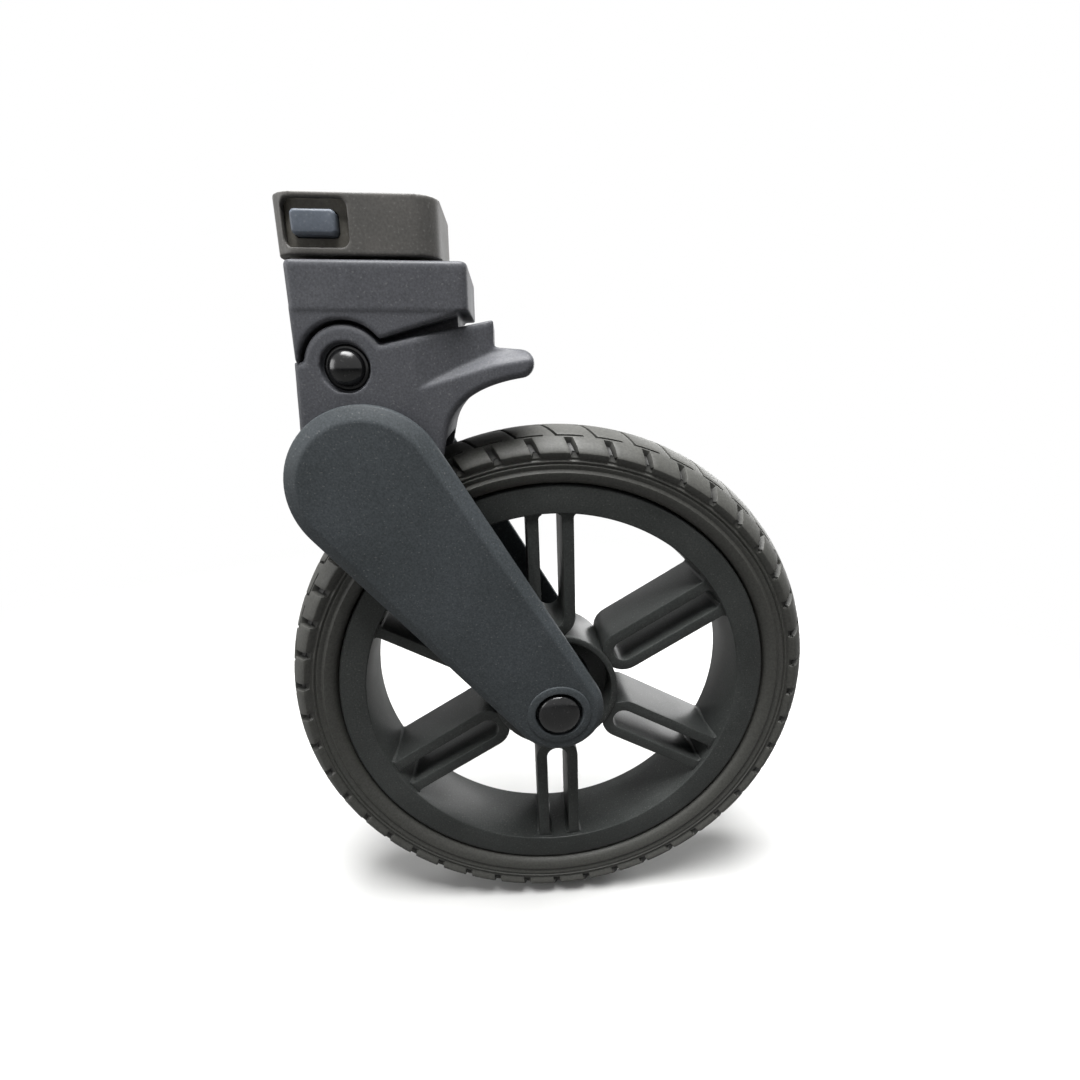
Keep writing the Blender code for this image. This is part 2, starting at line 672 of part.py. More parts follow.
def make_crown():
    pin = (PIN_X, 0, PIN_Z)
    crown = prism(crown_outline(), "Y", -CROWN_HALF, CROWN_HALF)
    for side in (-1, 1):
        crown = soften(crown, lambda edge: on_plane(edge, 1, side * CROWN_HALF), CROWN_EDGE)
    front = PIN_X - CROWN_FRONT + CROWN_WALL
    back = PIN_X + CROWN_BACK - CROWN_WALL
    deep = PIN_Z - TONGUE_RADIUS - CAVITY_SINK
    split = tongue_step()
    floor = rubber_top() - RUBBER_HEIGHT - FIT
    cavity = prism([(front, deep), (split, deep), (split, floor), (rubber_back() + RUBBER_ROOM, floor),
                    (back, floor + CAVITY_RAMP), (back, COLLAR_TOP), (front, COLLAR_TOP)],
                   "Y", -CAVITY_HALF, CAVITY_HALF)
    wheel_radius = TYRE_RADIUS + TYRE_TOP_GAP
    wheel_room = disc((AXLE_X, 0, AXLE_Z), "Y", wheel_radius, -CHEEK_INNER, CHEEK_INNER, WHEEL_ROUND)
    outside = CROWN_HALF + OVERLAP
    tools = []
    for side in (-1, 1):
        tools += [dowel(side, FIT)] + arm_fasteners(side, FIT)
    tools += [wheel_room, cavity, disc(pin, "Y", PIN_RADIUS + FIT, -outside, outside)]
    for side in (-1, 1):
        tools.append(disc(pin, "Y", PIN_CAP_POCKET_RADIUS, side * PIN_POCKET_FLOOR, side * outside))
    return carve(crown, *tools)


def make_collar():
    pin = (PIN_X, PIN_Z)
    swivel = (0, 0, 0)
    arc_radius = PIN_BOSS_RADIUS + BOSS_GAP
    sill = CROWN_FRONT_RISE + FRONT_SPLIT
    start = 180 - math.degrees(math.asin(sill / arc_radius))
    heel = COLLAR_BACK - COLLAR_HEEL
    body_top = SKIRT_BOTTOM + OVERLAP
    cut_out = arc(pin, arc_radius, start, PIN_BOSS_END + WEDGE_ANGLE, 16)
    slope = math.tan(math.radians(CROWN_TOP_SLOPE + WEDGE_ANGLE))
    wedge = (heel, cut_out[-1][1] + (heel - cut_out[-1][0]) * slope)
    front = COLLAR_FRONT + SKIRT_PROUD / 2
    body = prism([(front, PIN_Z + sill)] + cut_out + [wedge, (heel, body_top), (front, body_top)], "Y",
                 -CROWN_HALF, CROWN_HALF)
    width = 2 * (CROWN_HALF + SKIRT_PROUD)
    plan = rounded_rectangle((COLLAR_SHIFT, 0), COLLAR_LENGTH, width, COLLAR_CORNER)
    skirt = prism(plan, "Z", SKIRT_BOTTOM, COLLAR_TOP)
    skirt = soften(skirt, lambda edge: on_plane(edge, 2, COLLAR_TOP), COLLAR_EDGE)
    tongue_left = PIN_X - TONGUE_RADIUS
    flat_end = rubber_top() + FIT
    tongue = prism(
        arc(pin, TONGUE_RADIUS, 180, 310, 12)
        + [(tongue_step() - FIT, flat_end), (heel, flat_end),
           (heel, body_top), (tongue_left, body_top)],
        "Y", -TONGUE_HALF, TONGUE_HALF)
    collar = join(skirt, body, tongue)
    seat = STEM_BEARING_DIAMETER / 2 + FIT
    groove = STEM_BEARING_DIAMETER / 2 + RING_BITE + FIT
    return carve(
        collar,
        disc(swivel, "Z", seat, STEM_HEAD_TOP, COLLAR_TOP + OVERLAP),
        disc(swivel, "Z", groove, RING_TOP - RING_THICKNESS - FIT, RING_TOP + FIT),
        disc(swivel, "Z", STEM_HEAD_RADIUS + FIT, STEM_POCKET_FLOOR, STEM_HEAD_TOP + OVERLAP),
        disc((PIN_X, 0, PIN_Z), "Y", BUSH_RADIUS + FIT, -TONGUE_HALF - OVERLAP, TONGUE_HALF + OVERLAP))


def groove_span():
    middle = button_place()[1]
    return middle - LATCH_THICKNESS / 2 - FIT, middle + LATCH_THICKNESS / 2 + FIT


def make_stem():
    low, high = groove_span()
    top = -SOCKET_ROOF - FIT
    neck = STEM_RADIUS - LATCH_BITE - FIT
    return turned([
        (0, STEM_END), (STEM_HEAD_RADIUS, STEM_END), (STEM_HEAD_RADIUS, STEM_HEAD_TOP),
        (STEM_RADIUS, STEM_HEAD_TOP), (STEM_RADIUS, low), (neck, low), (neck, high), (STEM_RADIUS, high),
        (STEM_RADIUS, top - STEM_CHAMFER), (STEM_RADIUS - STEM_CHAMFER, top), (0, top),
    ], (0, 0, 0), "Z")


def window_outline():
    centre = (LEG_FRONT + WINDOW_INSET + WINDOW_LENGTH / 2, -WINDOW_DROP - WINDOW_HEIGHT / 2)
    return rounded_rectangle(centre, WINDOW_LENGTH, WINDOW_HEIGHT, WINDOW_CORNER)


def button_place():
    front = LEG_FRONT + WINDOW_INSET + BUTTON_INSET
    sill = -WINDOW_DROP - WINDOW_HEIGHT + BUTTON_LIFT
    return front + BUTTON_LENGTH / 2, sill + BUTTON_HEIGHT / 2


def button_outline(room=0.0):
    return rounded_rectangle(button_place(), BUTTON_LENGTH + 2 * room, BUTTON_HEIGHT + 2 * room,
                             BUTTON_CORNER + room)


def latch_hole():
    return STEM_RADIUS + 2 * FIT


def latch_offset():
    # At rest the hole is off the stem's axis, so that its far edge lies in the groove.
    return STEM_RADIUS - LATCH_BITE - latch_hole()


def latch_near():
    return latch_offset() - latch_hole() - LATCH_RIM


def latch_far():
    return latch_offset() + latch_hole() + LATCH_RIM


def latch_front():
    return LEG_FRONT + WINDOW_INSET + BUTTON_INSET + LATCH_INSET


def button_inner():
    return latch_near() - FIT


def make_latch():
    middle = button_place()[1]
    low = middle - LATCH_THICKNESS / 2
    high = middle + LATCH_THICKNESS / 2
    reach = latch_hole() + LATCH_RIM
    front = latch_front()
    near = latch_near()
    plate = prism([(front, near), (reach, near), (reach, latch_far()), (-reach, latch_far()),
                   (-reach, near + LATCH_ARM), (front, near + LATCH_ARM)], "Z", low, high)
    return carve(plate, disc((0, latch_offset(), 0), "Z", latch_hole(), low - OVERLAP, high + OVERLAP))


def make_spring():
    # Coil along Y from the latch to its seat in the plug.
    place = Vector((0, latch_far() + FIT + SPRING_WIRE, button_place()[1]))
    count = round(SPRING_CURLS * SPRING_CURL_POINTS)
    path = []
    for step in range(count + 1):
        turn = math.tau * step / SPRING_CURL_POINTS
        along = (SPRING_LENGTH - 2 * SPRING_WIRE) * step / count
        path.append(place + Vector((SPRING_RADIUS * math.cos(turn), along, SPRING_RADIUS * math.sin(turn))))
    rings = []
    for i, point in enumerate(path):
        ahead = (path[min(i + 1, count)] - path[max(i - 1, 0)]).normalized()
        out = (point - place) * Vector((1, 0, 1))
        out = (out - ahead * out.dot(ahead)).normalized()
        side = ahead.cross(out)
        spin = [math.tau * k / SPRING_SIDES for k in range(SPRING_SIDES)]
        rings.append([point + SPRING_WIRE * (math.cos(a) * out + math.sin(a) * side) for a in spin])
    apart = min((path[i] - path[j]).length
                for i in range(len(path)) for j in range(i + SPRING_CURL_POINTS // 2, len(path)))
    print("button_spring least gap to itself, mm:", round(apart - 2 * SPRING_WIRE, 2))
    return loft(rings)


def plug_screws(room=0.0):
    middle = button_place()[1]
    face = LEG_WIDTH / 2
    return [countersunk((LEG_SHIFT + shift, face, middle), -1, PLUG_SCREW_RADIUS, PLUG_SCREW_LENGTH,
                        PLUG_SCREW_HEAD, room)
            for shift in (-PLUG_SCREW_SPREAD / 2, PLUG_SCREW_SPREAD / 2)]


def make_leg_shell():
    outer = rounded_rectangle((LEG_SHIFT, 0), LEG_LENGTH, LEG_WIDTH, LEG_CORNER)
    inner = rounded_rectangle((LEG_SHIFT, 0), LEG_LENGTH - 2 * LEG_WALL, LEG_WIDTH - 2 * LEG_WALL,
                              LEG_CORNER - LEG_WALL)
    shell = tube(outer, inner, LEG_BOTTOM, 0)
    window = prism(window_outline(), "Y", -LEG_WIDTH / 2 - OVERLAP, -LEG_WIDTH / 2 + LEG_CORNER)
    return carve(shell, window, *plug_screws(FIT))


def make_leg_plug():
    trim = 2 * (LEG_WALL + FIT)
    plan = rounded_rectangle((LEG_SHIFT, 0), LEG_LENGTH - trim, LEG_WIDTH - trim, LEG_CORNER - LEG_WALL - FIT)
    plug = prism(plan, "Z", LEG_BOTTOM, 0)
    low, high = groove_span()
    reach = latch_hole() + LATCH_RIM
    slot = box((latch_front() - FIT, latch_near() - FIT, low),
               (reach + FIT, latch_far() + BUTTON_TRAVEL + FIT, high))
    button_room = prism(button_outline(FIT), "Y", -LEG_WIDTH / 2, button_inner() + BUTTON_TRAVEL + FIT)
    spring_room = disc((0, 0, button_place()[1]), "Y", SPRING_RADIUS + SPRING_WIRE + FIT, latch_far(),
                       latch_far() + 2 * FIT + SPRING_LENGTH)
    socket = disc((0, 0, 0), "Z", STEM_RADIUS + FIT, LEG_BOTTOM - OVERLAP, -SOCKET_ROOF)
    return carve(plug, slot, button_room, spring_room, socket, *plug_screws(FIT))


def make_button():
    outer = button_outline()
    face = -LEG_WIDTH / 2 - BUTTON_PROUD
    inset = rounded_rectangle(button_place(), BUTTON_LENGTH - BUTTON_CORNER, BUTTON_HEIGHT - BUTTON_CORNER,
                              BUTTON_CORNER / 2)
    return loft([lift(outer, "Y", button_inner()), lift(outer, "Y", face + BUTTON_CORNER / 2),
                 lift(inset, "Y", face)])


def make_rubber():
    low = (tongue_step(), -RUBBER_WIDTH / 2, rubber_top() - RUBBER_HEIGHT)
    block = box(low, (rubber_back(), RUBBER_WIDTH / 2, rubber_top()))
    return soften(block, lambda edge: True, RUBBER_EDGE)


def make_leg(leg, button):
    add_part("leg_shell", make_leg_shell(), leg, "leg_moulding")
    add_part("leg_plug", make_leg_plug(), leg, "black_moulding")
    for number, screw in enumerate(plug_screws(), 1):
        add_part(f"plug_screw_{number}", screw, leg, "steel")
    add_part("swivel_stem", make_stem(), leg, "steel")
    washer = ring((0, 0, 0), "Z", STEM_RADIUS + FIT, DUST_WASHER_RADIUS, COLLAR_TOP + FIT, LEG_BOTTOM - FIT)
    add_part("dust_washer", washer, leg, "black_moulding")
    add_part("button_spring", make_spring(), leg, "steel")
    add_part("release_button", make_button(), button, "button_moulding")
    add_part("latch_plate", make_latch(), button, "steel")


def make_swivel_head(head):
    swivel = (0, 0, 0)
    bore = STEM_RADIUS + FIT
    outer = STEM_BEARING_DIAMETER / 2
    add_part("swivel_collar", make_collar(), head, "grey_moulding")
    for name, top in (("upper", UPPER_BEARING_TOP), ("lower", LOWER_BEARING_TOP)):
        race = bearing(swivel, "Z", bore, outer, top - STEM_BEARING_WIDTH, top)
        add_part(f"stem_bearing_{name}", race, head, "steel")
    spacer = ring(swivel, "Z", bore, bore + STEM_SPACER_WALL, STEM_SPACER_TOP - STEM_SPACER_LENGTH,
                  STEM_SPACER_TOP)
    add_part("stem_spacer", spacer, head, "steel")
    clip_outer = outer + RING_BITE
    clip = ring(swivel, "Z", clip_outer - RING_WALL, clip_outer, RING_TOP - RING_THICKNESS, RING_TOP)
    add_part("retaining_ring", clip, head, "steel")
    for name, side in (("near", -1), ("far", 1)):
        bush = ring((PIN_X, 0, PIN_Z), "Y", PIN_RADIUS + FIT, BUSH_RADIUS, side * (TONGUE_HALF - BUSH_LENGTH),
                    side * TONGUE_HALF)
        add_part(f"pivot_bush_{name}", bush, head, "sintered_bronze")


def make_fork(fork):
    axle = (AXLE_X, 0, AXLE_Z)
    pin = (PIN_X, 0, PIN_Z)
    add_part("fork_crown", make_crown(), fork, "grey_moulding")
    add_part("suspension_block", make_rubber(), fork, "spring_rubber")
    pin_end = PIN_POCKET_FLOOR
    add_part("pivot_pin", disc(pin, "Y", PIN_RADIUS, -pin_end, pin_end), fork, "steel")
    shank_end = AXLE_HEAD_INNER + AXLE_HEAD_THICKNESS
    bolt = turned([(0, -shank_end), (AXLE_HEAD_RADIUS, -shank_end), (AXLE_HEAD_RADIUS, -AXLE_HEAD_INNER),
                   (AXLE_RADIUS, -AXLE_HEAD_INNER), (AXLE_RADIUS, shank_end), (0, shank_end)], axle, "Y")
    add_part("axle_bolt", bolt, fork, "steel")
    corners = [(AXLE_X + AXLE_HEAD_RADIUS * math.cos(math.radians(60 * i)),
                AXLE_Z + AXLE_HEAD_RADIUS * math.sin(math.radians(60 * i))) for i in range(6)]
    nut = carve(prism(corners, "Y", AXLE_HEAD_INNER, shank_end),
                disc(axle, "Y", AXLE_RADIUS + FIT, 0, ARM_OUTER))
    add_part("axle_nut", nut, fork, "steel")
    for name, side in (("near", -1), ("far", 1)):
        add_part(f"fork_arm_{name}", make_arm(side), fork, "arm_moulding")
        add_part(f"arm_dowel_{name}", dowel(side), fork, "steel")
        for number, screw in enumerate(arm_fasteners(side), 1):
            add_part(f"arm_screw_{name}_{number}", screw, fork, "steel")
        washer = ring(axle, "Y", AXLE_RADIUS + FIT, AXLE_RADIUS + WASHER_WALL, side * WASHER_INNER,
                      side * (WASHER_INNER + WASHER_THICKNESS))
        add_part(f"axle_washer_{name}", washer, fork, "steel")
        cap_place = (AXLE_X, side * CAP_BASE, AXLE_Z)
        cap = dome(cap_place, side, [(AXLE_CAP_RADIUS, AXLE_CAP_RIM)], AXLE_CAP_RADIUS, AXLE_CAP_DOME)
        add_part(f"axle_cap_{name}", cap, fork, "cap_gloss")
        pin_cap = dome((PIN_X, side * (PIN_POCKET_FLOOR + FIT), PIN_Z), side,
                       [(PIN_CAP_RADIUS, PIN_CAP_FLANGE)], PIN_CAP_DOME_RADIUS, PIN_CAP_DOME)
        add_part(f"pivot_cap_{name}", pin_cap, fork, "cap_gloss")


def make_wheel(wheel):
    axle = (AXLE_X, 0, AXLE_Z)
    bore = AXLE_RADIUS + FIT
    add_part("wheel_rim", make_rim(), wheel, "black_moulding")
    add_part("wheel_hub", make_hub(), wheel, "black_moulding")
    for i in range(SPOKES):
        add_part(f"wheel_spoke_{i + 1}", make_spoke(360 * i / SPOKES - SPOKE_LEAN), wheel, "black_moulding")
    add_part("tyre", make_tyre(), wheel, "tyre_rubber")
    for name, side in (("near", -1), ("far", 1)):
        race = bearing(axle, "Y", bore, BEARING_DIAMETER / 2, side * BEARING_SPREAD / 2, side * BEARING_OUTER)
        add_part(f"wheel_bearing_{name}", race, wheel, "steel")
    half = BEARING_SPREAD / 2 - FIT
    add_part("hub_sleeve", ring(axle, "Y", bore, bore + SLEEVE_WALL, -half, half), wheel, "steel")


def main():
    clear_scene()
    leg = make_anchor("leg_origin", (0.0, 0.0, 0.0))
    button_x, button_z = button_place()
    button = make_anchor("button_origin", (button_x, -LEG_WIDTH / 2, button_z), leg)
    head = make_anchor("swivel_axis", (0.0, 0.0, COLLAR_TOP), leg)
    fork = make_anchor("pivot_axis", (PIN_X, 0.0, PIN_Z), head)
    wheel = make_anchor("axle_axis", (AXLE_X, 0.0, AXLE_Z), fork)
    make_leg(leg, button)
    make_swivel_head(head)
    make_fork(fork)
    make_wheel(wheel)


main()
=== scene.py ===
import math

import bmesh
import bpy
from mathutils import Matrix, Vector


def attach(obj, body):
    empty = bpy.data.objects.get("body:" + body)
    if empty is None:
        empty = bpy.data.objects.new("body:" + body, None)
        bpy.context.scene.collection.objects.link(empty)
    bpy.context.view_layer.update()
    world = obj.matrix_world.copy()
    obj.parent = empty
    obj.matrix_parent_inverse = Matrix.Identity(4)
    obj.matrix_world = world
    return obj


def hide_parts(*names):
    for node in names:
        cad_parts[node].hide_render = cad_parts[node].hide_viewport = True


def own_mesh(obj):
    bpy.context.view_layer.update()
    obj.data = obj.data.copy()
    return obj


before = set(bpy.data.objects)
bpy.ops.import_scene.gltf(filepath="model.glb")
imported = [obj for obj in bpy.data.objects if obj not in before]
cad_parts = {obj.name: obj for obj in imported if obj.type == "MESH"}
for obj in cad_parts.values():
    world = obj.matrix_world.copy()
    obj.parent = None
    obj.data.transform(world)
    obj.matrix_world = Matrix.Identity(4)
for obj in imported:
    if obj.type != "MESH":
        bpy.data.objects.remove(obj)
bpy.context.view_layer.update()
print("frame loaded,", len(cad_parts), "nodes")

mm = 0.001
axle = (52.5, -163.8)   # x and z in mm, as all places below
pin = (-11.4, -45.3)
root = (-7.7, -80.8)    # middle of the arms' round upper end
sides = {"near": -1, "far": 1}
weld = 0.002            # points of a turned piece nearer than this are one
onFace = 0.01           # a point nearer to a face than this lies on it


# Modelling helpers, all sizes in mm

def deselect():
    if bpy.context.mode != "OBJECT":
        bpy.ops.object.mode_set(mode="OBJECT")
    bpy.ops.object.select_all(action="DESELECT")


def editAll(piece):
    deselect()
    piece.select_set(True)
    bpy.context.view_layer.objects.active = piece
    bpy.ops.object.mode_set(mode="EDIT")
    bpy.ops.mesh.select_all(action="SELECT")


def pickFaces(piece, test):
    # in edit mode: select the faces whose middle passes the test
    bpy.ops.mesh.select_all(action="DESELECT")
    bpy.ops.mesh.select_mode(type="FACE")
    shape = bmesh.from_edit_mesh(piece.data)
    for face in shape.faces:
        face.select_set(test(face.calc_center_median() / mm))
    bmesh.update_edit_mesh(piece.data)


def pickEdges(piece, test):
    # in edit mode: select the edges whose two ends pass the test
    bpy.ops.mesh.select_all(action="DESELECT")
    bpy.ops.mesh.select_mode(type="EDGE")
    shape = bmesh.from_edit_mesh(piece.data)
    for edge in shape.edges:
        edge.select_set(all(test(vert.co / mm) for vert in edge.verts))
    bmesh.update_edit_mesh(piece.data)


def arc(middle, radius, start, end, steps):
    turns = [math.radians(start + (end - start) * i / steps) for i in range(steps + 1)]
    return [(middle[0] + radius * math.cos(t), middle[1] + radius * math.sin(t)) for t in turns]


def circle(middle, radius, points):
    return arc(middle, radius, 0, 360 - 360 / points, points - 1)


def roundedOutline(middle, length, width, radius, steps=8):
    points = []
    for quarter, (sideX, sideY) in enumerate(((1, 1), (-1, 1), (-1, -1), (1, -1))):
        corner = (middle[0] + sideX * (length / 2 - radius), middle[1] + sideY * (width / 2 - radius))
        points += arc(corner, radius, 90 * quarter, 90 * quarter + 90, steps)
    return points


def strapOutline(first, firstRadius, second, secondRadius, steps=40):
    run = (second[0] - first[0], second[1] - first[1])
    heading = math.degrees(math.atan2(run[1], run[0]))
    spread = math.degrees(math.acos((firstRadius - secondRadius) / math.hypot(*run)))
    return (arc(first, firstRadius, heading + spread, heading + 360 - spread, steps)
            + arc(second, secondRadius, heading - spread, heading + spread, steps))


def sided(profile, side):
    return [(radius, side * along) for radius, along in profile]


def stack(name, layers, axis="Y"):
    # a filled circle dragged into the first outline, then extruded from outline to outline
    def spot(point, level):
        spread = (point[0], level, point[1]) if axis == "Y" else (point[0], point[1], level)
        return Vector(spread) * mm

    outline, level = layers[0]
    deselect()
    bpy.ops.mesh.primitive_circle_add(vertices=len(outline), radius=mm, fill_type="NGON")
    piece = bpy.context.object
    piece.name = name
    for vertex, point in zip(piece.data.vertices, outline):
        vertex.co = spot(point, level)
    editAll(piece)
    for nextOutline, nextLevel in layers[1:]:
        rise = spot((0, 0), nextLevel - level)
        bpy.ops.mesh.extrude_region_move(TRANSFORM_OT_translate={"value": rise})
        shape = bmesh.from_edit_mesh(piece.data)
        moved = [vert for vert in shape.verts if vert.select]
        lifted = [spot(point, nextLevel) for point in outline]
        for vert in moved:
            nearest = min(range(len(lifted)), key=lambda i: (lifted[i] - vert.co).length_squared)
            vert.co = spot(nextOutline[nearest], nextLevel)
        bmesh.update_edit_mesh(piece.data)
        outline, level = nextOutline, nextLevel
    bpy.ops.mesh.select_all(action="SELECT")
    bpy.ops.mesh.normals_make_consistent(inside=False)
    bpy.ops.object.mode_set(mode="OBJECT")
    return piece


def slab(name, outline, low, high, axis="Y"):
    return stack(name, [(outline, low), (outline, high)], axis)


def turn(name, profile, middle, steps):
    # profile of (radius, along y), dragged from a circle and spun round
    deselect()
    bpy.ops.mesh.primitive_circle_add(vertices=len(profile), radius=mm)
    piece = bpy.context.object
    piece.name = name
    for vertex, (radius, along) in zip(piece.data.vertices, profile):
        vertex.co = Vector((middle[0], along, middle[1] + radius)) * mm
    editAll(piece)
    centre = (middle[0] * mm, 0, middle[1] * mm)
    bpy.ops.mesh.spin(steps=steps, angle=math.tau, center=centre, axis=(0, 1, 0))
    bpy.ops.mesh.select_all(action="SELECT")
    bpy.ops.mesh.remove_doubles(threshold=weld * mm)
    bpy.ops.mesh.delete_loose()
    bpy.ops.mesh.select_all(action="SELECT")
    bpy.ops.mesh.normals_make_consistent(inside=False)
    bpy.ops.object.mode_set(mode="OBJECT")
    return piece


def applied(piece, kind, **settings):
    deselect()
    piece.select_set(True)
    bpy.context.view_layer.objects.active = piece
    modifier = piece.modifiers.new(kind.lower(), kind)
    for key, value in settings.items():
        setattr(modifier, key, value)
    bpy.ops.object.modifier_apply(modifier=modifier.name)
    return piece


def combined(piece, operation, *tools):
    for tool in tools:
        applied(piece, "BOOLEAN", operation=operation, object=tool, solver="EXACT")
        bpy.data.objects.remove(tool)
    return piece


def rounded(piece, width, segments, angle):
    return applied(piece, "BEVEL", width=width * mm, segments=segments, limit_method="ANGLE",
                   angle_limit=math.radians(angle), use_clamp_overlap=True)


def roundedRim(piece, width, test):
    # only the edges that pass the test
    pickEdges(piece, test)
    bpy.ops.mesh.bevel(offset=width * mm, segments=4, profile=0.5, clamp_overlap=False)


def softened(piece, voxel, rounds):
    # moulded edges: an even fine mesh, then its corners eased
    applied(piece, "REMESH", mode="VOXEL", voxel_size=voxel * mm)
    return applied(piece, "SMOOTH", factor=0.5, iterations=rounds)


def settle(piece, name, body, nodes, material, angle=35):
    deselect()
    piece.name = name
    piece.select_set(True)
    bpy.context.view_layer.objects.active = piece
    bpy.ops.object.shade_smooth_by_angle(angle=math.radians(angle))
    piece.data.materials.clear()
    piece.data.materials.append(material)
    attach(piece, body)
    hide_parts(*nodes)
    print("made", name, "with", len(piece.data.polygons), "faces")


# Materials

noiseSpan = {"From Min": 0.3, "From Max": 0.7}      # where nearly all of a noise lies
glossSpan = {"From Min": 0.35, "From Max": 0.65}
speckSpan = {"From Min": 0.72, "From Max": 0.8}     # only a noise's few peaks
perMetre = 1000                                     # millimetres
dustColour = "#9a9a97"
grainHeight = 0.06
markBump = {"Strength": 0.2, "Distance": 0.03 * mm}


def linear(hexColour):
    # screen colour to linear light
    channels = [int(hexColour[i:i + 2], 16) / 255 for i in (1, 3, 5)]
    return [c / 12.92 if c <= 0.04045 else ((c + 0.055) / 1.055) ** 2.4 for c in channels] + [1.0]


def addNode(tree, kind, settings=None, links=None):
    node = tree.nodes.new(kind)
    for key, value in (settings or {}).items():
        if isinstance(key, int) or key in node.inputs:
            node.inputs[key].default_value = value
        else:
            setattr(node, key, value)
    for key, source in (links or {}).items():
        tree.links.new(source, node.inputs[key])
    return node


def startMaterial(name, shaderSettings):
    material = bpy.data.materials.new(name)
    material.use_nodes = True
    tree = material.node_tree
    tree.nodes.clear()
    shader = addNode(tree, "ShaderNodeBsdfPrincipled", shaderSettings)
    addNode(tree, "ShaderNodeOutputMaterial", None, {"Surface": shader.outputs["BSDF"]})
    place = addNode(tree, "ShaderNodeTexCoord").outputs["Object"]
    return material, tree, shader, place


def endMaterial(tree, shader, colour, rough, bump):
    tree.links.new(colour.outputs[2], shader.inputs["Base Color"])
    tree.links.new(rough.outputs["Result"], shader.inputs["Roughness"])
    tree.links.new(bump.outputs["Normal"], shader.inputs["Normal"])


def mouldedPlastic(name, look):
    # tone drifts slowly, a fine spark-eroded grain breaks the gloss, dust sits in specks;
    # grain and specks are drawn coarser than they are, or they would not show
    material, tree, shader, place = startMaterial(name, {
        "IOR": look["ior"], "Specular IOR Level": look["specular"]})
    cloud, grain, speck = [
        addNode(tree, "ShaderNodeTexNoise", {"Scale": perMetre / look[size], "Detail": detail},
                {"Vector": place})
        for size, detail in (("cloudMm", 3.0), ("grainMm", 2.0), ("speckMm", 0.0))]
    drift = addNode(tree, "ShaderNodeMapRange", noiseSpan, {"Value": cloud.outputs["Fac"]})
    tone = addNode(tree, "ShaderNodeMix",
                   {"data_type": "RGBA", 6: linear(look["dark"]), 7: linear(look["light"])},
                   {0: drift.outputs["Result"]})
    mottle = addNode(tree, "ShaderNodeMapRange",
                     {**noiseSpan, "To Min": 1 - look["mottle"], "To Max": 1 + look["mottle"]},
                     {"Value": grain.outputs["Fac"]})
    shaded = addNode(tree, "ShaderNodeMix", {"data_type": "RGBA", "blend_type": "MULTIPLY", 0: 1.0},
                     {6: tone.outputs[2], 7: mottle.outputs["Result"]})
    dust = addNode(tree, "ShaderNodeMapRange", {**speckSpan, "To Max": look["dust"]},
                   {"Value": speck.outputs["Fac"]})
    colour = addNode(tree, "ShaderNodeMix", {"data_type": "RGBA", 7: linear(dustColour)},
                     {0: dust.outputs["Result"], 6: shaded.outputs[2]})
    rough = addNode(tree, "ShaderNodeMapRange",
                    {**glossSpan, "To Min": look["roughLow"], "To Max": look["roughHigh"]},
                    {"Value": cloud.outputs["Fac"]})
    bump = addNode(tree, "ShaderNodeBump", {"Strength": look["bump"], "Distance": grainHeight * mm},
                   {"Height": grain.outputs["Fac"]})
    endMaterial(tree, shader, colour, rough, bump)
    return material


# Glass-filled nylon: matt, slightly blue, grain from an etched mould
armNylon = mouldedPlastic("etched_nylon_arm", {
    "dark": "#373b3d", "light": "#3f4346", "cloudMm": 28, "grainMm": 0.6, "speckMm": 0.7, "mottle": 0.22,
    "dust": 0.14, "roughLow": 0.5, "roughHigh": 0.62, "bump": 0.35, "ior": 1.5, "specular": 0.15})
# ABS with a satin mould finish: soft broad highlights along its edges
headAbs = mouldedPlastic("satin_abs_grey", {
    "dark": "#46474b", "light": "#505155", "cloudMm": 22, "grainMm": 0.6, "speckMm": 0.7, "mottle": 0.2,
    "dust": 0.14, "roughLow": 0.42, "roughHigh": 0.55, "bump": 0.3, "ior": 1.5, "specular": 0.2})
# ABS, smoother than the head and a warmer grey
legAbs = mouldedPlastic("semigloss_abs_leg", {
    "dark": "#494846", "light": "#54524f", "cloudMm": 18, "grainMm": 0.7, "speckMm": 0.7, "mottle": 0.15,
    "dust": 0.12, "roughLow": 0.4, "roughHigh": 0.52, "bump": 0.2, "ior": 1.5, "specular": 0.25})
# ABS inside the leg: a warm grey, painted paler than the plug is, as painted light that lifts the shade in
# the deep window; dull, with hardly a highlight
socketAbs = mouldedPlastic("satin_abs_socket", {
    "dark": "#57554f", "light": "#63605a", "cloudMm": 18, "grainMm": 0.9, "speckMm": 0.7, "mottle": 0.12,
    "dust": 0.1, "roughLow": 0.45, "roughHigh": 0.6, "bump": 0.25, "ior": 1.5, "specular": 0.2})
# ABS button: a bluish grey, a little smoother than the mouldings round it
buttonAbs = mouldedPlastic("satin_abs_button", {
    "dark": "#4d535b", "light": "#585e67", "cloudMm": 9, "grainMm": 0.7, "speckMm": 0.7, "mottle": 0.1,
    "dust": 0.12, "roughLow": 0.35, "roughHigh": 0.48, "bump": 0.25, "ior": 1.5, "specular": 0.25})
# Black nylon wheel: satin, so that light runs softly along the bars and the barrel
wheelNylon = mouldedPlastic("satin_nylon_wheel", {
    "dark": "#303231", "light": "#3b3d3c", "cloudMm": 24, "grainMm": 0.6, "speckMm": 0.7, "mottle": 0.2,
    "dust": 0.1, "roughLow": 0.3, "roughHigh": 0.42, "bump": 0.2, "ior": 1.5, "specular": 0.16})
# Nylon washer: dark and dull, almost without highlights
washerNylon = mouldedPlastic("matt_nylon_washer", {
    "dark": "#3c3b39", "light": "#484744", "cloudMm": 10, "grainMm": 0.8, "speckMm": 0.7, "mottle": 0.1,
    "dust": 0.1, "roughLow": 0.6, "roughHigh": 0.75, "bump": 0.3, "ior": 1.5, "specular": 0.15})
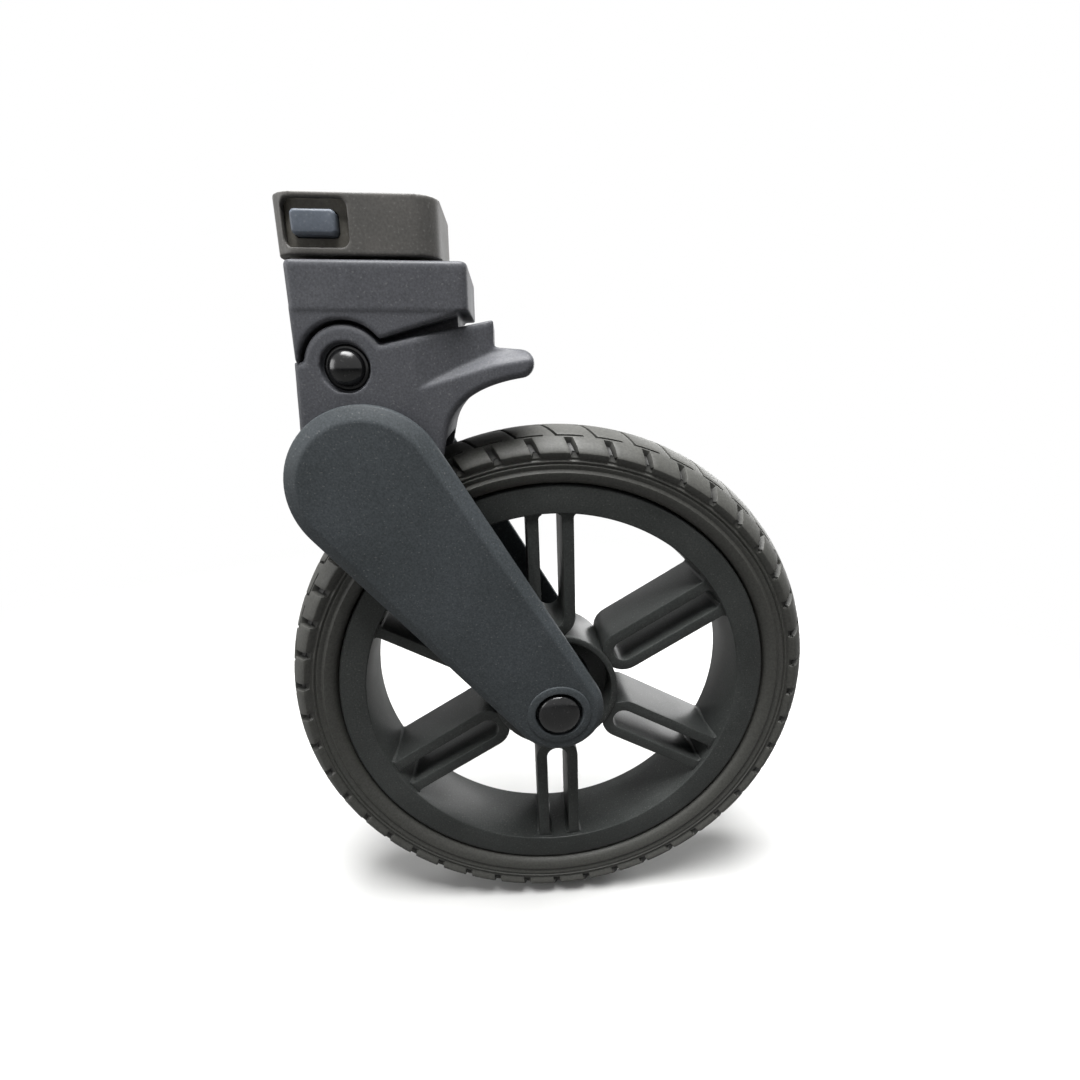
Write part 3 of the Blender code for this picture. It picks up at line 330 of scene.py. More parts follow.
# Polished polycarbonate cap: deep black, soft highlights, faint haze
capGloss = mouldedPlastic("polished_polycarbonate_cap", {
    "dark": "#0c0c0d", "light": "#131314", "cloudMm": 5, "grainMm": 1.0, "speckMm": 0.9, "mottle": 0.05,
    "dust": 0.05, "roughLow": 0.16, "roughHigh": 0.26, "bump": 0.05, "ior": 1.58, "specular": 0.34})
print("plastics ready")

tyreLook = {
    # groove: the colour of the painted shade inside the grooves
    "ior": 1.5, "specular": 0.3, "clean": "#3a3a37", "dusty": "#4c4c49", "groove": "#232322",
    "dustFrom": 91, "dustTo": 99.6, "dustMost": 0.85, "patchLow": 0.55, "patchHigh": 1.2,   # radii in mm
    "cloudMm": 14, "grainMm": 0.8, "mottle": 0.2, "roughLow": 0.4, "roughHigh": 0.66,
    "bump": 0.45, "grainHeight": 0.08,
}


def tyreRubber(name, look):
    # Foamed polyurethane: dull black, greyed in patches by dust towards the tread; painted shade
    # darkens its grooves; the grain is drawn coarser than it is
    material, tree, shader, place = startMaterial(name, {
        "IOR": look["ior"], "Specular IOR Level": look["specular"]})
    shift = addNode(tree, "ShaderNodeMapping", {"Location": (-axle[0] * mm, 0, -axle[1] * mm)},
                    {"Vector": place})
    flat = addNode(tree, "ShaderNodeVectorMath", {"operation": "MULTIPLY", 1: (1, 0, 1)},
                   {0: shift.outputs["Vector"]})
    reach = addNode(tree, "ShaderNodeVectorMath", {"operation": "LENGTH"}, {0: flat.outputs["Vector"]})
    outward = addNode(tree, "ShaderNodeMapRange",
                      {"From Min": look["dustFrom"] * mm, "From Max": look["dustTo"] * mm,
                       "To Max": look["dustMost"]},
                      {"Value": reach.outputs["Value"]})
    cloud, grain = [
        addNode(tree, "ShaderNodeTexNoise", {"Scale": perMetre / look[size], "Detail": detail},
                {"Vector": place})
        for size, detail in (("cloudMm", 4.0), ("grainMm", 2.0))]
    patch = addNode(tree, "ShaderNodeMapRange",
                    {**noiseSpan, "To Min": look["patchLow"], "To Max": look["patchHigh"]},
                    {"Value": cloud.outputs["Fac"]})
    amount = addNode(tree, "ShaderNodeMath", {"operation": "MULTIPLY", "use_clamp": True},
                     {0: outward.outputs["Result"], 1: patch.outputs["Result"]})
    dusty = addNode(tree, "ShaderNodeMix",
                    {"data_type": "RGBA", 6: linear(look["clean"]), 7: linear(look["dusty"])},
                    {0: amount.outputs["Value"]})
    # painted shade: what sank into a groove is mixed towards the darker groove colour
    groove = addNode(tree, "ShaderNodeAttribute", {"attribute_name": "groove"})
    tone = addNode(tree, "ShaderNodeMix", {"data_type": "RGBA", 7: linear(look["groove"])},
                   {0: groove.outputs["Fac"], 6: dusty.outputs[2]})
    mottle = addNode(tree, "ShaderNodeMapRange",
                     {**noiseSpan, "To Min": 1 - look["mottle"], "To Max": 1 + look["mottle"]},
                     {"Value": grain.outputs["Fac"]})
    colour = addNode(tree, "ShaderNodeMix", {"data_type": "RGBA", "blend_type": "MULTIPLY", 0: 1.0},
                     {6: tone.outputs[2], 7: mottle.outputs["Result"]})
    rough = addNode(tree, "ShaderNodeMapRange", {"To Min": look["roughLow"], "To Max": look["roughHigh"]},
                    {"Value": cloud.outputs["Fac"]})
    bump = addNode(tree, "ShaderNodeBump",
                   {"Strength": look["bump"], "Distance": look["grainHeight"] * mm},
                   {"Height": grain.outputs["Fac"]})
    endMaterial(tree, shader, colour, rough, bump)
    return material


def machinedMetal(name, look):
    # turned or plated metal: fine tool marks blur what it mirrors, and its tone drifts with tarnish;
    # the marks are drawn coarser than they are
    material, tree, shader, place = startMaterial(name, {"Metallic": 1.0})
    marks, cloud = [
        addNode(tree, "ShaderNodeTexNoise", {"Scale": perMetre / look[size], "Detail": detail},
                {"Vector": place})
        for size, detail in (("markMm", 2.0), ("cloudMm", 3.0))]
    tone = addNode(tree, "ShaderNodeMix",
                   {"data_type": "RGBA", 6: linear(look["dark"]), 7: linear(look["light"])},
                   {0: cloud.outputs["Fac"]})
    rough = addNode(tree, "ShaderNodeMapRange", {"To Min": look["roughLow"], "To Max": look["roughHigh"]},
                    {"Value": marks.outputs["Fac"]})
    bump = addNode(tree, "ShaderNodeBump", markBump, {"Height": marks.outputs["Fac"]})
    endMaterial(tree, shader, tone, rough, bump)
    return material


tyreFoam = tyreRubber("foamed_polyurethane_tyre", tyreLook)
# Zinc plating: pale, slightly cloudy, with blurred reflections
zincSteel = machinedMetal("zinc_plated_steel", {
    "dark": "#9d9fa1", "light": "#b9babb", "markMm": 0.5, "cloudMm": 6, "roughLow": 0.28, "roughHigh": 0.45})
# Ground steel: bright, with the clearest reflections of these metals
groundSteel = machinedMetal("ground_bearing_steel", {
    "dark": "#a8aaac", "light": "#c4c5c6", "markMm": 0.4, "cloudMm": 8, "roughLow": 0.16, "roughHigh": 0.3})
# Drawn wire: a darker steel with a dull shine
springSteel = machinedMetal("drawn_spring_steel", {
    "dark": "#85878a", "light": "#a2a4a6", "markMm": 0.3, "cloudMm": 4, "roughLow": 0.25, "roughHigh": 0.4})
# Sintered bronze: brown, patchy and dull
sinteredBronze = machinedMetal("sintered_bronze", {
    "dark": "#7d5a33", "light": "#a57c49", "markMm": 0.6, "cloudMm": 3, "roughLow": 0.4, "roughHigh": 0.6})
# Natural rubber: nearly black, dull, and it holds dust
springRubber = mouldedPlastic("moulded_natural_rubber", {
    "dark": "#1b1b1a", "light": "#262624", "cloudMm": 7, "grainMm": 0.6, "speckMm": 0.9, "mottle": 0.15,
    "dust": 0.3, "roughLow": 0.6, "roughHigh": 0.8, "bump": 0.4, "ior": 1.52, "specular": 0.35})
print("tyre, metals and rubber ready")

# Tyre: one pitch of the tread is a grid, grooved, mirrored and spun round

tyreSizes = {
    "pitches": 45, "phase": -3.3,   # degrees, so that the shoulder grooves stand as seen
    "columns": (-2.0, -1.0, 0.0, 1.15, 2.81, 4.41, 6.01, 8.0, 10.0, 11.963),   # along the rim
    # half section from the crown's middle: across, radius, and how far the row is shifted along the rim
    "tread": (
        (0.0, 100.0, 0.0), (0.7, 99.98, 0.0), (1.6, 99.95, 0.3), (4.5, 99.4, 1.9), (7.2, 98.5, 3.3),
        (9.5, 97.57, 4.6), (10.35, 97.17, 4.84), (10.8, 96.9, 4.84), (12.0, 96.15, 5.2), (13.2, 95.2, 5.7),
        (14.4, 94.1, 6.2), (15.4, 92.8, 6.7), (15.65, 92.2, 6.9), (15.35, 91.5, 7.1), (14.5, 90.6, 7.2)),
    # the flank: an undercut, a lit ledge, a thin groove, a valley, the ridge, the bead, the hidden seat
    "flank": (
        (14.2, 90.2), (14.25, 89.9), (14.8, 89.45), (14.85, 89.1), (14.25, 88.75), (14.2, 88.5),
        (14.75, 88.1), (14.5, 87.4), (14.1, 86.7), (14.3, 86.2), (14.8, 85.5), (14.75, 85.0), (14.3, 83.9),
        (13.9, 83.0), (13.1, 82.3), (11.8, 81.7), (4.7, 81.3), (4.7, 78.6), (0.0, 78.6)),
    # cells of the grid that sink: the sipe's start, its run outward and its branch, the shoulder groove
    "sipeRow": 1, "sipeColumn": 2, "branchRow": 5, "branchEnd": 8,
    "grooveColumns": (4, 6), "grooveRows": (7, 14),
    "sipeInset": 0.1, "sipeDepth": 1.5, "grooveInset": 0.6, "grooveDepth": 2.1,
    "edge": 0.4, "cellNear": 0.02, "mirrorSeam": 0.01, "pitchSeam": 0.02,
}


def makeTyre(t):
    rows = list(t["tread"]) + [(across, radius, t["tread"][-1][2]) for across, radius in t["flank"]]
    wide, crown = len(t["columns"]), t["tread"][0][1]
    middle = Vector((axle[0], 0, axle[1]))
    deselect()
    bpy.ops.mesh.primitive_grid_add(x_subdivisions=wide - 1, y_subdivisions=len(rows) - 1, size=mm)
    piece = bpy.context.object
    for j, (across, radius, shift) in enumerate(rows):
        for i, column in enumerate(t["columns"]):
            angle = (column + shift) / crown + math.radians(t["phase"])
            spot = middle + Vector((radius * math.sin(angle), -across, radius * math.cos(angle)))
            piece.data.vertices[j * wide + i].co = spot * mm
    editAll(piece)
    bpy.ops.mesh.normals_make_consistent(inside=False)
    shape = bmesh.from_edit_mesh(piece.data)
    shape.faces.ensure_lookup_table()
    if shape.faces[0].normal.z < 0:
        bpy.ops.mesh.flip_normals()
    places = [vert.co / mm for vert in shape.verts]
    quads = {(i, j): (places[j * wide + i] + places[j * wide + i + 1] + places[(j + 1) * wide + i]
                      + places[(j + 1) * wide + i + 1]) / 4
             for j in range(len(rows) - 1) for i in range(wide - 1)}
    sipe = [(i, t["sipeRow"]) for i in range(t["sipeColumn"])]
    sipe += [(t["sipeColumn"], j) for j in range(t["sipeRow"], t["branchRow"])]
    sipe += [(i, t["branchRow"]) for i in range(t["sipeColumn"], t["branchEnd"])]
    groove = [(i, j) for i in range(*t["grooveColumns"]) for j in range(*t["grooveRows"])]
    for cells, inset, depth in ((sipe, t["sipeInset"], t["sipeDepth"]),
                                (groove, t["grooveInset"], t["grooveDepth"])):
        wanted = [quads[cell] for cell in cells]
        pickFaces(piece, lambda spot: any((spot - place).length < t["cellNear"] for place in wanted))
        bpy.ops.mesh.inset(thickness=inset * mm, depth=-depth * mm, use_boundary=True)
        shape = bmesh.from_edit_mesh(piece.data)
        grooveShade = shape.verts.layers.float.get("groove") or shape.verts.layers.float.new("groove")
        for vert in shape.verts:   # the material paints shade on what has sunk
            if vert.select:
                vert[grooveShade] = 1.0
        bmesh.update_edit_mesh(piece.data)
    bpy.ops.object.mode_set(mode="OBJECT")
    applied(piece, "MIRROR", use_axis=(False, True, False), use_clip=True,
            merge_threshold=t["mirrorSeam"] * mm)
    editAll(piece)
    turns = t["pitches"] - 1
    bpy.ops.mesh.spin(steps=turns, dupli=True, angle=math.tau * turns / t["pitches"],
                      center=tuple(middle * mm), axis=(0, 1, 0))
    bpy.ops.mesh.select_all(action="SELECT")
    bpy.ops.mesh.remove_doubles(threshold=t["pitchSeam"] * mm)
    bpy.ops.mesh.normals_make_consistent(inside=False)
    bpy.ops.object.mode_set(mode="OBJECT")
    rounded(piece, t["edge"], segments=2, angle=42)
    settle(piece, "tyreTread", "wheel", ["tyre"], tyreFoam, angle=40)


makeTyre(tyreSizes)

# Wheel: spun barrel and hub, six twin-bar spokes

wheelSizes = {
    "bore": 71.0, "draft": 0.8, "seat": 81.0, "half": 12.7, "chamfer": 0.7, "rib": 5.0, "ribDepth": 2.7,
    "hubRadius": 24.0, "hubWall": 2.5, "hubHalf": 12.3, "bearingSeat": 11.3, "bossWall": 2.9, "web": 3.0,
    "bearingOuter": 14.6, "shoulder": 7.3, "sleeve": 6.2,
    "spokes": 6, "lean": 2.0, "bar": 4.2, "slot": 4.1, "spokeHalf": 11.2, "fillet": 1.5, "flareTurn": 80,
    "rimBite": 0.6, "hubBite": 3,   # a bar runs this far into the rim; one part in three sinks into the hub
    "edge": 0.5,
}


def makeRim(w):
    half, seat, floor = w["half"], w["seat"], w["seat"] - w["ribDepth"]
    oneSide = [(w["bore"], half), (seat - w["chamfer"], half), (seat, half - w["chamfer"]), (seat, w["rib"]),
               (floor, w["rib"])]
    profile = sided(oneSide, -1) + oneSide[::-1] + [(w["bore"] - w["draft"], 0)]
    piece = rounded(turn("rim", profile, axle, steps=180), w["edge"], segments=3, angle=25)
    settle(piece, "wheelBarrel", "wheel", ["wheel_rim"], wheelNylon)


def makeHub(w):
    boss, inner = w["bearingSeat"] + w["bossWall"], w["hubRadius"] - w["hubWall"]
    oneSide = [(w["sleeve"], w["shoulder"]), (w["bearingSeat"], w["shoulder"]),
               (w["bearingSeat"], w["bearingOuter"]), (boss, w["bearingOuter"]), (boss, w["web"]),
               (inner, w["web"]), (inner, w["hubHalf"]), (w["hubRadius"], w["hubHalf"])]
    profile = sided(oneSide, -1) + oneSide[::-1]
    piece = rounded(turn("hub", profile, axle, steps=120), w["edge"], segments=3, angle=30)
    settle(piece, "wheelHub", "wheel", ["wheel_hub"], wheelNylon)


def makeSpokes(w):
    slot, fillet = w["slot"], w["fillet"]
    half = slot + w["bar"]
    foot = w["hubRadius"] - w["bar"] / w["hubBite"] + half
    end = w["bore"] + w["rimBite"]
    flare = w["bore"] - w["draft"] - fillet
    outer = arc((flare, half + fillet), fillet, 270, 270 + w["flareTurn"], steps=6)
    inner = arc((flare, slot - fillet), fillet, 90, 90 - w["flareTurn"], steps=6)
    upper = outer + [(end, outer[-1][1])]
    lower = [(end, inner[-1][1])] + inner[::-1]
    flat = (sided(upper[::-1], -1) + arc((foot, 0), half, 270, 90, steps=24) + upper + lower
            + arc((foot, 0), slot, 90, 270, steps=18) + sided(lower[::-1], -1))
    for number in range(w["spokes"]):
        angle = math.radians(360 * number / w["spokes"] - w["lean"])
        outline = [(axle[0] + out * math.sin(angle) + side * math.cos(angle),
                    axle[1] + out * math.cos(angle) - side * math.sin(angle)) for out, side in flat]
        piece = slab("spoke", outline, -w["spokeHalf"], w["spokeHalf"])
        rounded(piece, w["edge"], segments=3, angle=50)
        label = number + 1
        settle(piece, f"wheelSpoke{label}", "wheel", [f"wheel_spoke_{label}"], wheelNylon)


makeRim(wheelSizes)
makeHub(wheelSizes)
makeSpokes(wheelSizes)

# Fork arms: chamfered straps with a soft ring round each axle cap

armSizes = {
    "rootRadius": 25.2, "tipRadius": 16.6, "inner": 20.8, "outer": 26.0,
    "chamferRoot": 4.6, "chamferTip": 2.4, "chamferDepth": 2.4, "edge": 0.7,
    "bossRadius": 8.5, "bossEnd": 16.2, "bossRoot": 21.6,
    "ringRadius": 11.5, "ringStep": 1, "ringRoot": 22.4, "ringFace": 26.7, "ringEase": 0.6,
    "ringCorner": 0.18, "bore": 4.3, "boreStart": 15, "pocket": 8.6, "pocketFloor": 22.2,
    "pocketEdge": 0.4, "pocketEnd": 28,
}


def makeArms(a):
    full = strapOutline(root, a["rootRadius"], axle, a["tipRadius"])
    face = strapOutline(root, a["rootRadius"] - a["chamferRoot"], axle, a["tipRadius"] - a["chamferTip"])
    ring, ringFace, corner = a["ringRadius"], a["ringFace"], a["ringCorner"]
    bossProfile = [(0, a["bossEnd"]), (a["bossRadius"], a["bossEnd"]), (a["bossRadius"], a["bossRoot"]),
                   (ring - a["ringStep"], a["bossRoot"]), (ring, a["ringRoot"]),
                   (ring, ringFace - a["ringEase"]), (ring - corner, ringFace - corner),
                   (ring - a["ringEase"], ringFace), (0, ringFace)]
    mouth = a["pocket"] + a["pocketEdge"]
    holeProfile = [(0, a["boreStart"]), (a["bore"], a["boreStart"]), (a["bore"], a["pocketFloor"]),
                   (a["pocket"], a["pocketFloor"]), (a["pocket"], ringFace - a["pocketEdge"]),
                   (mouth, ringFace), (mouth, a["pocketEnd"]), (0, a["pocketEnd"])]
    for name, side in sides.items():
        arm = stack("arm", [(full, side * a["inner"]), (full, side * (a["outer"] - a["chamferDepth"])),
                            (face, side * a["outer"])])
        rounded(arm, a["edge"], segments=4, angle=20)
        boss = turn("boss", sided(bossProfile, side), axle, steps=72)
        hole = turn("hole", sided(holeProfile, side), axle, steps=72)
        combined(arm, "UNION", boss)
        combined(arm, "DIFFERENCE", hole)
        settle(arm, "forkArm" + name.title(), "fork", ["fork_arm_" + name], armNylon)


makeArms(armSizes)

# Fork crown: hollow moulding with bosses, throat, lip and a crease that runs into the lip

crownSizes = {
    "half": 20.5, "front": 14.8, "frontRise": 1.6, "frontRake": 1.0, "frontDrop": 19.0,
    "back": 43.6, "topSlope": 12.0, "bossRadius": 12.2, "bossEnd": 33.0,
    "lipTop": 6.0, "lipTip": (40.2, -44.1), "lipRadius": 4.2, "lipUnder": 75.0,
    "throat": (17.2, -65.3), "throatBow": (19.7, -51.3), "cheekRadius": 21.5, "cheekTurn": 8.0, "edge": 1.7,
    "wall": 2.6, "cavityHalf": 13.3, "cavityTop": -17.5, "cavityDeep": -55.8, "cavityStep": -0.9,
    "cavityFloor": -52.8, "cavityRampStart": 17.5, "cavityRamp": 7.0, "wheelRoom": 103.5, "cheekInner": 18.7,
    "pinHole": 4.3, "pocket": 7.2, "pocketFloor": 17.9, "holeReach": 30, "voxel": 0.5, "ease": 5,
    "creaseStart": (9.3, -51.8), "creaseRise": 0.288, "creaseLength": 22.2, "creaseDepth": 4.0,
    "creaseBend": 0.165, "creaseBendFrom": 31.5, "creaseSkin": 0.2,
    # height over which the faces step back, and how it and the step grow from the start of the crease
    "creaseZone": 4.8, "creaseLeast": 0.2, "creaseFan": 0.6, "creaseGrow": 0.8,
}


def bow(start, control, end, steps):
    points = []
    for i in range(steps + 1):
        s = i / steps
        points.append(tuple((1 - s) ** 2 * start[k] + 2 * s * (1 - s) * control[k] + s ** 2 * end[k]
                            for k in (0, 1)))
    return points


def easeIn(value):
    value = min(max(value, 0.0), 1.0)
    return value * value * (3 - 2 * value)


def makeCrown(c):
    front = pin[0] - c["front"]
    back = pin[0] + c["back"]
    start = 180 - math.degrees(math.asin(c["frontRise"] / c["bossRadius"]))
    boss = arc(pin, c["bossRadius"], start, c["bossEnd"], steps=48)
    rise = (back - boss[-1][0]) * math.tan(math.radians(c["topSlope"]))
    lip = arc(c["lipTip"], c["lipRadius"], 90, -c["lipUnder"], steps=20)
    under = bow(lip[-1], c["throatBow"], c["throat"], steps=24)
    cheek = arc(root, c["cheekRadius"], -c["cheekTurn"], c["cheekTurn"] - 180, steps=48)
    outline = ([(front, pin[1] + c["frontRise"])] + boss
               + [(back, boss[-1][1] + rise), (back, pin[1] + c["lipTop"])]
               + lip + under[1:] + cheek + [(front - c["frontRake"], pin[1] - c["frontDrop"])])
    crown = slab("crown", outline, -c["half"], c["half"])
    editAll(crown)
    for side in (-1, 1):
        roundedRim(crown, c["edge"], lambda spot: abs(spot.y - side * c["half"]) < onFace)
    bpy.ops.object.mode_set(mode="OBJECT")
    inFront, inBack, floor = front + c["wall"], back - c["wall"], c["cavityFloor"]
    inside = [(inFront, c["cavityDeep"]), (c["cavityStep"], c["cavityDeep"]), (c["cavityStep"], floor),
              (c["cavityRampStart"], floor), (inBack, floor + c["cavityRamp"]), (inBack, c["cavityTop"]),
              (inFront, c["cavityTop"])]
    cavity = slab("cavity", inside, -c["cavityHalf"], c["cavityHalf"])
    wheelRoom = slab("room", circle(axle, c["wheelRoom"], 180), -c["cheekInner"], c["cheekInner"])
    pinHole = slab("pinHole", circle(pin, c["pinHole"], 36), -c["holeReach"], c["holeReach"])
    combined(crown, "DIFFERENCE", cavity, wheelRoom, pinHole)
    for side in (-1, 1):
        pocketEnds = (side * c["pocketFloor"], side * c["holeReach"])
        combined(crown, "DIFFERENCE", slab("pocket", circle(pin, c["pocket"], 60), *pocketEnds))
    softened(crown, c["voxel"], c["ease"])
    creaseX, creaseZ = c["creaseStart"]
    for vertex in crown.data.vertices:   # the faces above the crease step back and run out at its start
        x, y, z = vertex.co / mm
        share = min(max((x - creaseX) / c["creaseLength"], 0.0), 1.0)
        if abs(y) > c["cavityHalf"] + c["creaseSkin"] and share > 0:
            low = (creaseZ + c["creaseRise"] * min(x - creaseX, c["creaseLength"])
                   + c["creaseBend"] * max(x - c["creaseBendFrom"], 0))
            zone = c["creaseZone"] * share ** c["creaseFan"] + c["creaseLeast"]
            lifted = easeIn((z - low) / zone)
            keep = 1 - c["creaseDepth"] * share ** c["creaseGrow"] * lifted / (c["half"] - c["cavityHalf"])
            vertex.co.y = math.copysign(c["cavityHalf"] + (abs(y) - c["cavityHalf"]) * keep, y) * mm
    applied(crown, "SMOOTH", factor=0.5, iterations=2)
    settle(crown, "forkCrown", "fork", ["fork_crown"], headAbs, angle=60)


makeCrown(crownSizes)

# Swivel head: skirt, body with the arc cut-out, tongue and bores

headSizes = {
    "shift": -0.2, "length": 51.0, "width": 42.4, "corner": 2.4, "edge": 1.5,
    "top": -16.6, "seatLevel": -17.5, "seatInset": 3.4, "seatClear": 5, "skirtBottom": -29.7, "overlap": 1,
    "bodyHalf": 20.95, "proud": 0.25, "heel": 21.5, "sill": 1.3, "arcRadius": 13.2, "arcEnd": 37.5,
    "slope": 16.5, "tongueHalf": 12.8, "tongueRadius": 9.2, "tongueTurn": (180, 310), "tongueFlat": 2.5,
    "tongueStep": -1.2, "bearingSeat": 12.3, "bearingTop": -15, "stemPocket": 7.7, "stemHeadTop": -37.0,
    "stemFloor": -39.1, "stemRoomTop": -30, "bushSeat": 5.6, "bushReach": 20, "voxel": 0.5, "ease": 4,
}


def makeHead(h):
    plan = roundedOutline((h["shift"], 0), h["length"], h["width"], h["corner"])
    skirt = slab("skirt", plan, h["skirtBottom"], h["top"], "Z")
    editAll(skirt)
    roundedRim(skirt, h["edge"], lambda spot: abs(spot.z - h["top"]) < onFace)
    bpy.ops.object.mode_set(mode="OBJECT")
    start = 180 - math.degrees(math.asin(h["sill"] / h["arcRadius"]))
    cutOut = arc(pin, h["arcRadius"], start, h["arcEnd"], steps=48)
    bodyTop = h["skirtBottom"] + h["overlap"]
    front = h["shift"] - h["length"] / 2 + h["proud"]
    rise = (h["heel"] - cutOut[-1][0]) * math.tan(math.radians(h["slope"]))
    bodyOutline = ([(front, pin[1] + h["sill"])] + cutOut
                   + [(h["heel"], cutOut[-1][1] + rise), (h["heel"], bodyTop), (front, bodyTop)])
    body = slab("body", bodyOutline, -h["bodyHalf"], h["bodyHalf"])
    flatEnd = pin[1] + h["tongueFlat"]
    tongueOutline = (arc(pin, h["tongueRadius"], *h["tongueTurn"], steps=32)
                     + [(h["tongueStep"], flatEnd), (h["heel"], flatEnd), (h["heel"], bodyTop),
                        (pin[0] - h["tongueRadius"], bodyTop)])
    tongue = slab("tongue", tongueOutline, -h["tongueHalf"], h["tongueHalf"])
    combined(skirt, "UNION", body, tongue)
    seat = roundedOutline((h["shift"], 0), h["length"] - 2 * h["seatInset"], h["width"] - 2 * h["seatInset"],
                          h["corner"])
    bearing = circle((0, 0), h["bearingSeat"], 72)
    stem = circle((0, 0), h["stemPocket"], 45)
    combined(skirt, "DIFFERENCE",
             slab("washerSeat", seat, h["seatLevel"], h["top"] + h["seatClear"], "Z"),
             slab("bearingSeat", bearing, h["stemHeadTop"], h["bearingTop"], "Z"),
             slab("stemRoom", stem, h["stemFloor"], h["stemRoomTop"], "Z"),
             slab("bushRoom", circle(pin, h["bushSeat"], 36), -h["bushReach"], h["bushReach"]))
    softened(skirt, h["voxel"], h["ease"])
    settle(skirt, "swivelHead", "swivel_head", ["swivel_collar"], headAbs, angle=60)


makeHead(headSizes)

# Leg end with its window

legSizes = {
    "shift": -5.35, "length": 46.3, "width": 38.0, "corner": 7.6, "wall": 2.2, "bottom": -15.4,
    "boreClear": 5, "window": (-15.95, -7.4), "windowSize": (17.9, 12.2, 2.4), "windowStart": -30,
    "voxel": 0.4, "ease": 4,
}


def makeLeg(g):
    length, width, corner, wall = g["length"], g["width"], g["corner"], g["wall"]
    outer = roundedOutline((g["shift"], 0), length, width, corner, steps=12)
    inner = roundedOutline((g["shift"], 0), length - 2 * wall, width - 2 * wall, corner - wall)
    shell = slab("shell", outer, g["bottom"], 0, "Z")
    window = slab("window", roundedOutline(g["window"], *g["windowSize"]), g["windowStart"],
                  -width / 2 + corner)
    bore = slab("bore", inner, g["bottom"] - g["boreClear"], g["boreClear"], "Z")
    combined(shell, "DIFFERENCE", bore, window)
    softened(shell, g["voxel"], g["ease"])
    settle(shell, "legShell", "leg", ["leg_shell"], legAbs, angle=60)


makeLeg(legSizes)

# Release button in the window

buttonSizes = {"place": (-16.2, -7.4), "size": (12.2, 6.4, 1.4), "face": -19.9, "inner": -13.6, "edge": 0.9}


def makeButton(b):
    key = slab("key", roundedOutline(b["place"], *b["size"]), b["inner"], b["face"])
    rounded(key, b["edge"], segments=5, angle=40)
    settle(key, "releaseButton", "button", ["release_button"], buttonAbs)


makeButton(buttonSizes)

# Caps over the pivot pin and the axle ends

capSizes = {
    "pinBase": 18.2, "pinFlange": 6.6, "pinFlangeHeight": 0.4, "pinEdge": 0.4, "pinDome": 5.5,
    "pinDomeHeight": 3.7, "pinSteps": 14,
    "axleBase": 25.2, "axleRadius": 7.6, "axleRim": 0.9, "axleDome": 2.4, "axleSteps": 16,
}


def dome(radius, base, height, steps, first):
    turns = [math.pi / 2 * i / steps for i in range(first, steps)]
    return [(radius * math.cos(t), base + height * math.sin(t)) for t in turns] + [(0, base + height)]


def makeCaps(k):
    top, edge = k["pinBase"] + k["pinFlangeHeight"], k["pinEdge"]
    pinProfile = [(0, k["pinBase"]), (k["pinFlange"], k["pinBase"]), (k["pinFlange"], top - edge),
                  (k["pinFlange"] - edge, top), (k["pinDome"], top)]
    pinProfile += dome(k["pinDome"], top, k["pinDomeHeight"], k["pinSteps"], first=1)
    rim = k["axleBase"] + k["axleRim"]
    axleProfile = [(0, k["axleBase"]), (k["axleRadius"], k["axleBase"])]
    axleProfile += dome(k["axleRadius"], rim, k["axleDome"], k["axleSteps"], first=0)
    for name, side in sides.items():
        cap = turn("cap", sided(pinProfile, side), pin, steps=64)
        settle(cap, "pivotCap" + name.title(), "fork", ["pivot_cap_" + name], capGloss, angle=50)
        cap = turn("cap", sided(axleProfile, side), axle, steps=64)
        settle(cap, "axleCap" + name.title(), "fork", ["axle_cap_" + name], capGloss, angle=50)


makeCaps(capSizes)

# Rubber block under the tongue, with two grooves round it

blockSizes = {
    "blockFront": -0.9, "blockBack": 16.5, "blockTop": -43.1, "blockHeight": 9.4, "blockWidth": 23.0,
    "blockCorner": 2.6, "ribs": 3, "ribDepth": 0.7, "ribSteps": 8, "blockKeep": 0.79,
}


def makeBlock(b):
    length = b["blockBack"] - b["blockFront"]
    middle = ((b["blockFront"] + b["blockBack"]) / 2, 0)
    bottom = b["blockTop"] - b["blockHeight"]
    steps = b["ribSteps"] * b["ribs"]
    layers = []
    for i in range(steps + 1):
        share = i / steps
        dip = b["ribDepth"] * (1 + math.cos(math.tau * share * b["ribs"])) / 2
        outline = roundedOutline(middle, length - 2 * dip, b["blockWidth"] - 2 * dip, b["blockCorner"] - dip)
        layers.append((outline, bottom + b["blockHeight"] * share))
    piece = stack("block", layers, "Z")
    settle(piece, "suspensionBlock", "fork", ["suspension_block"], springRubber, angle=60)
    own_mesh(piece)


makeBlock(blockSizes)

# The button's coil spring

coilSizes = {
    "coilRadius": 2.2, "wire": 0.3, "wireSides": 10, "coilFoot": 7.4, "coilLength": 4.0, "coilTurns": 3.5,
    "turnSteps": 28, "coilLevel": -7.4, "coilKeep": 0.52,
}


def makeCoil(b):
    deselect()
    bpy.ops.mesh.primitive_circle_add(vertices=b["wireSides"], radius=b["wire"] * mm,
                                      location=(b["coilRadius"] * mm, 0, 0))
    bpy.ops.object.transform_apply(location=True)
    piece = applied(bpy.context.object, "SCREW", axis="Y", angle=math.tau * b["coilTurns"],
                    screw_offset=b["coilLength"] * mm, steps=int(b["turnSteps"] * b["coilTurns"]),
                    use_smooth_shade=True)
    editAll(piece)
    bpy.ops.mesh.fill_holes(sides=0)
    bpy.ops.mesh.normals_make_consistent(inside=False)
    bpy.ops.transform.translate(value=(0, b["coilFoot"] * mm, b["coilLevel"] * mm))
    bpy.ops.object.mode_set(mode="OBJECT")
    settle(piece, "buttonCoil", "leg", ["button_spring"], springSteel, angle=50)
    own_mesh(piece)


makeCoil(coilSizes)

# Camera, light and floor

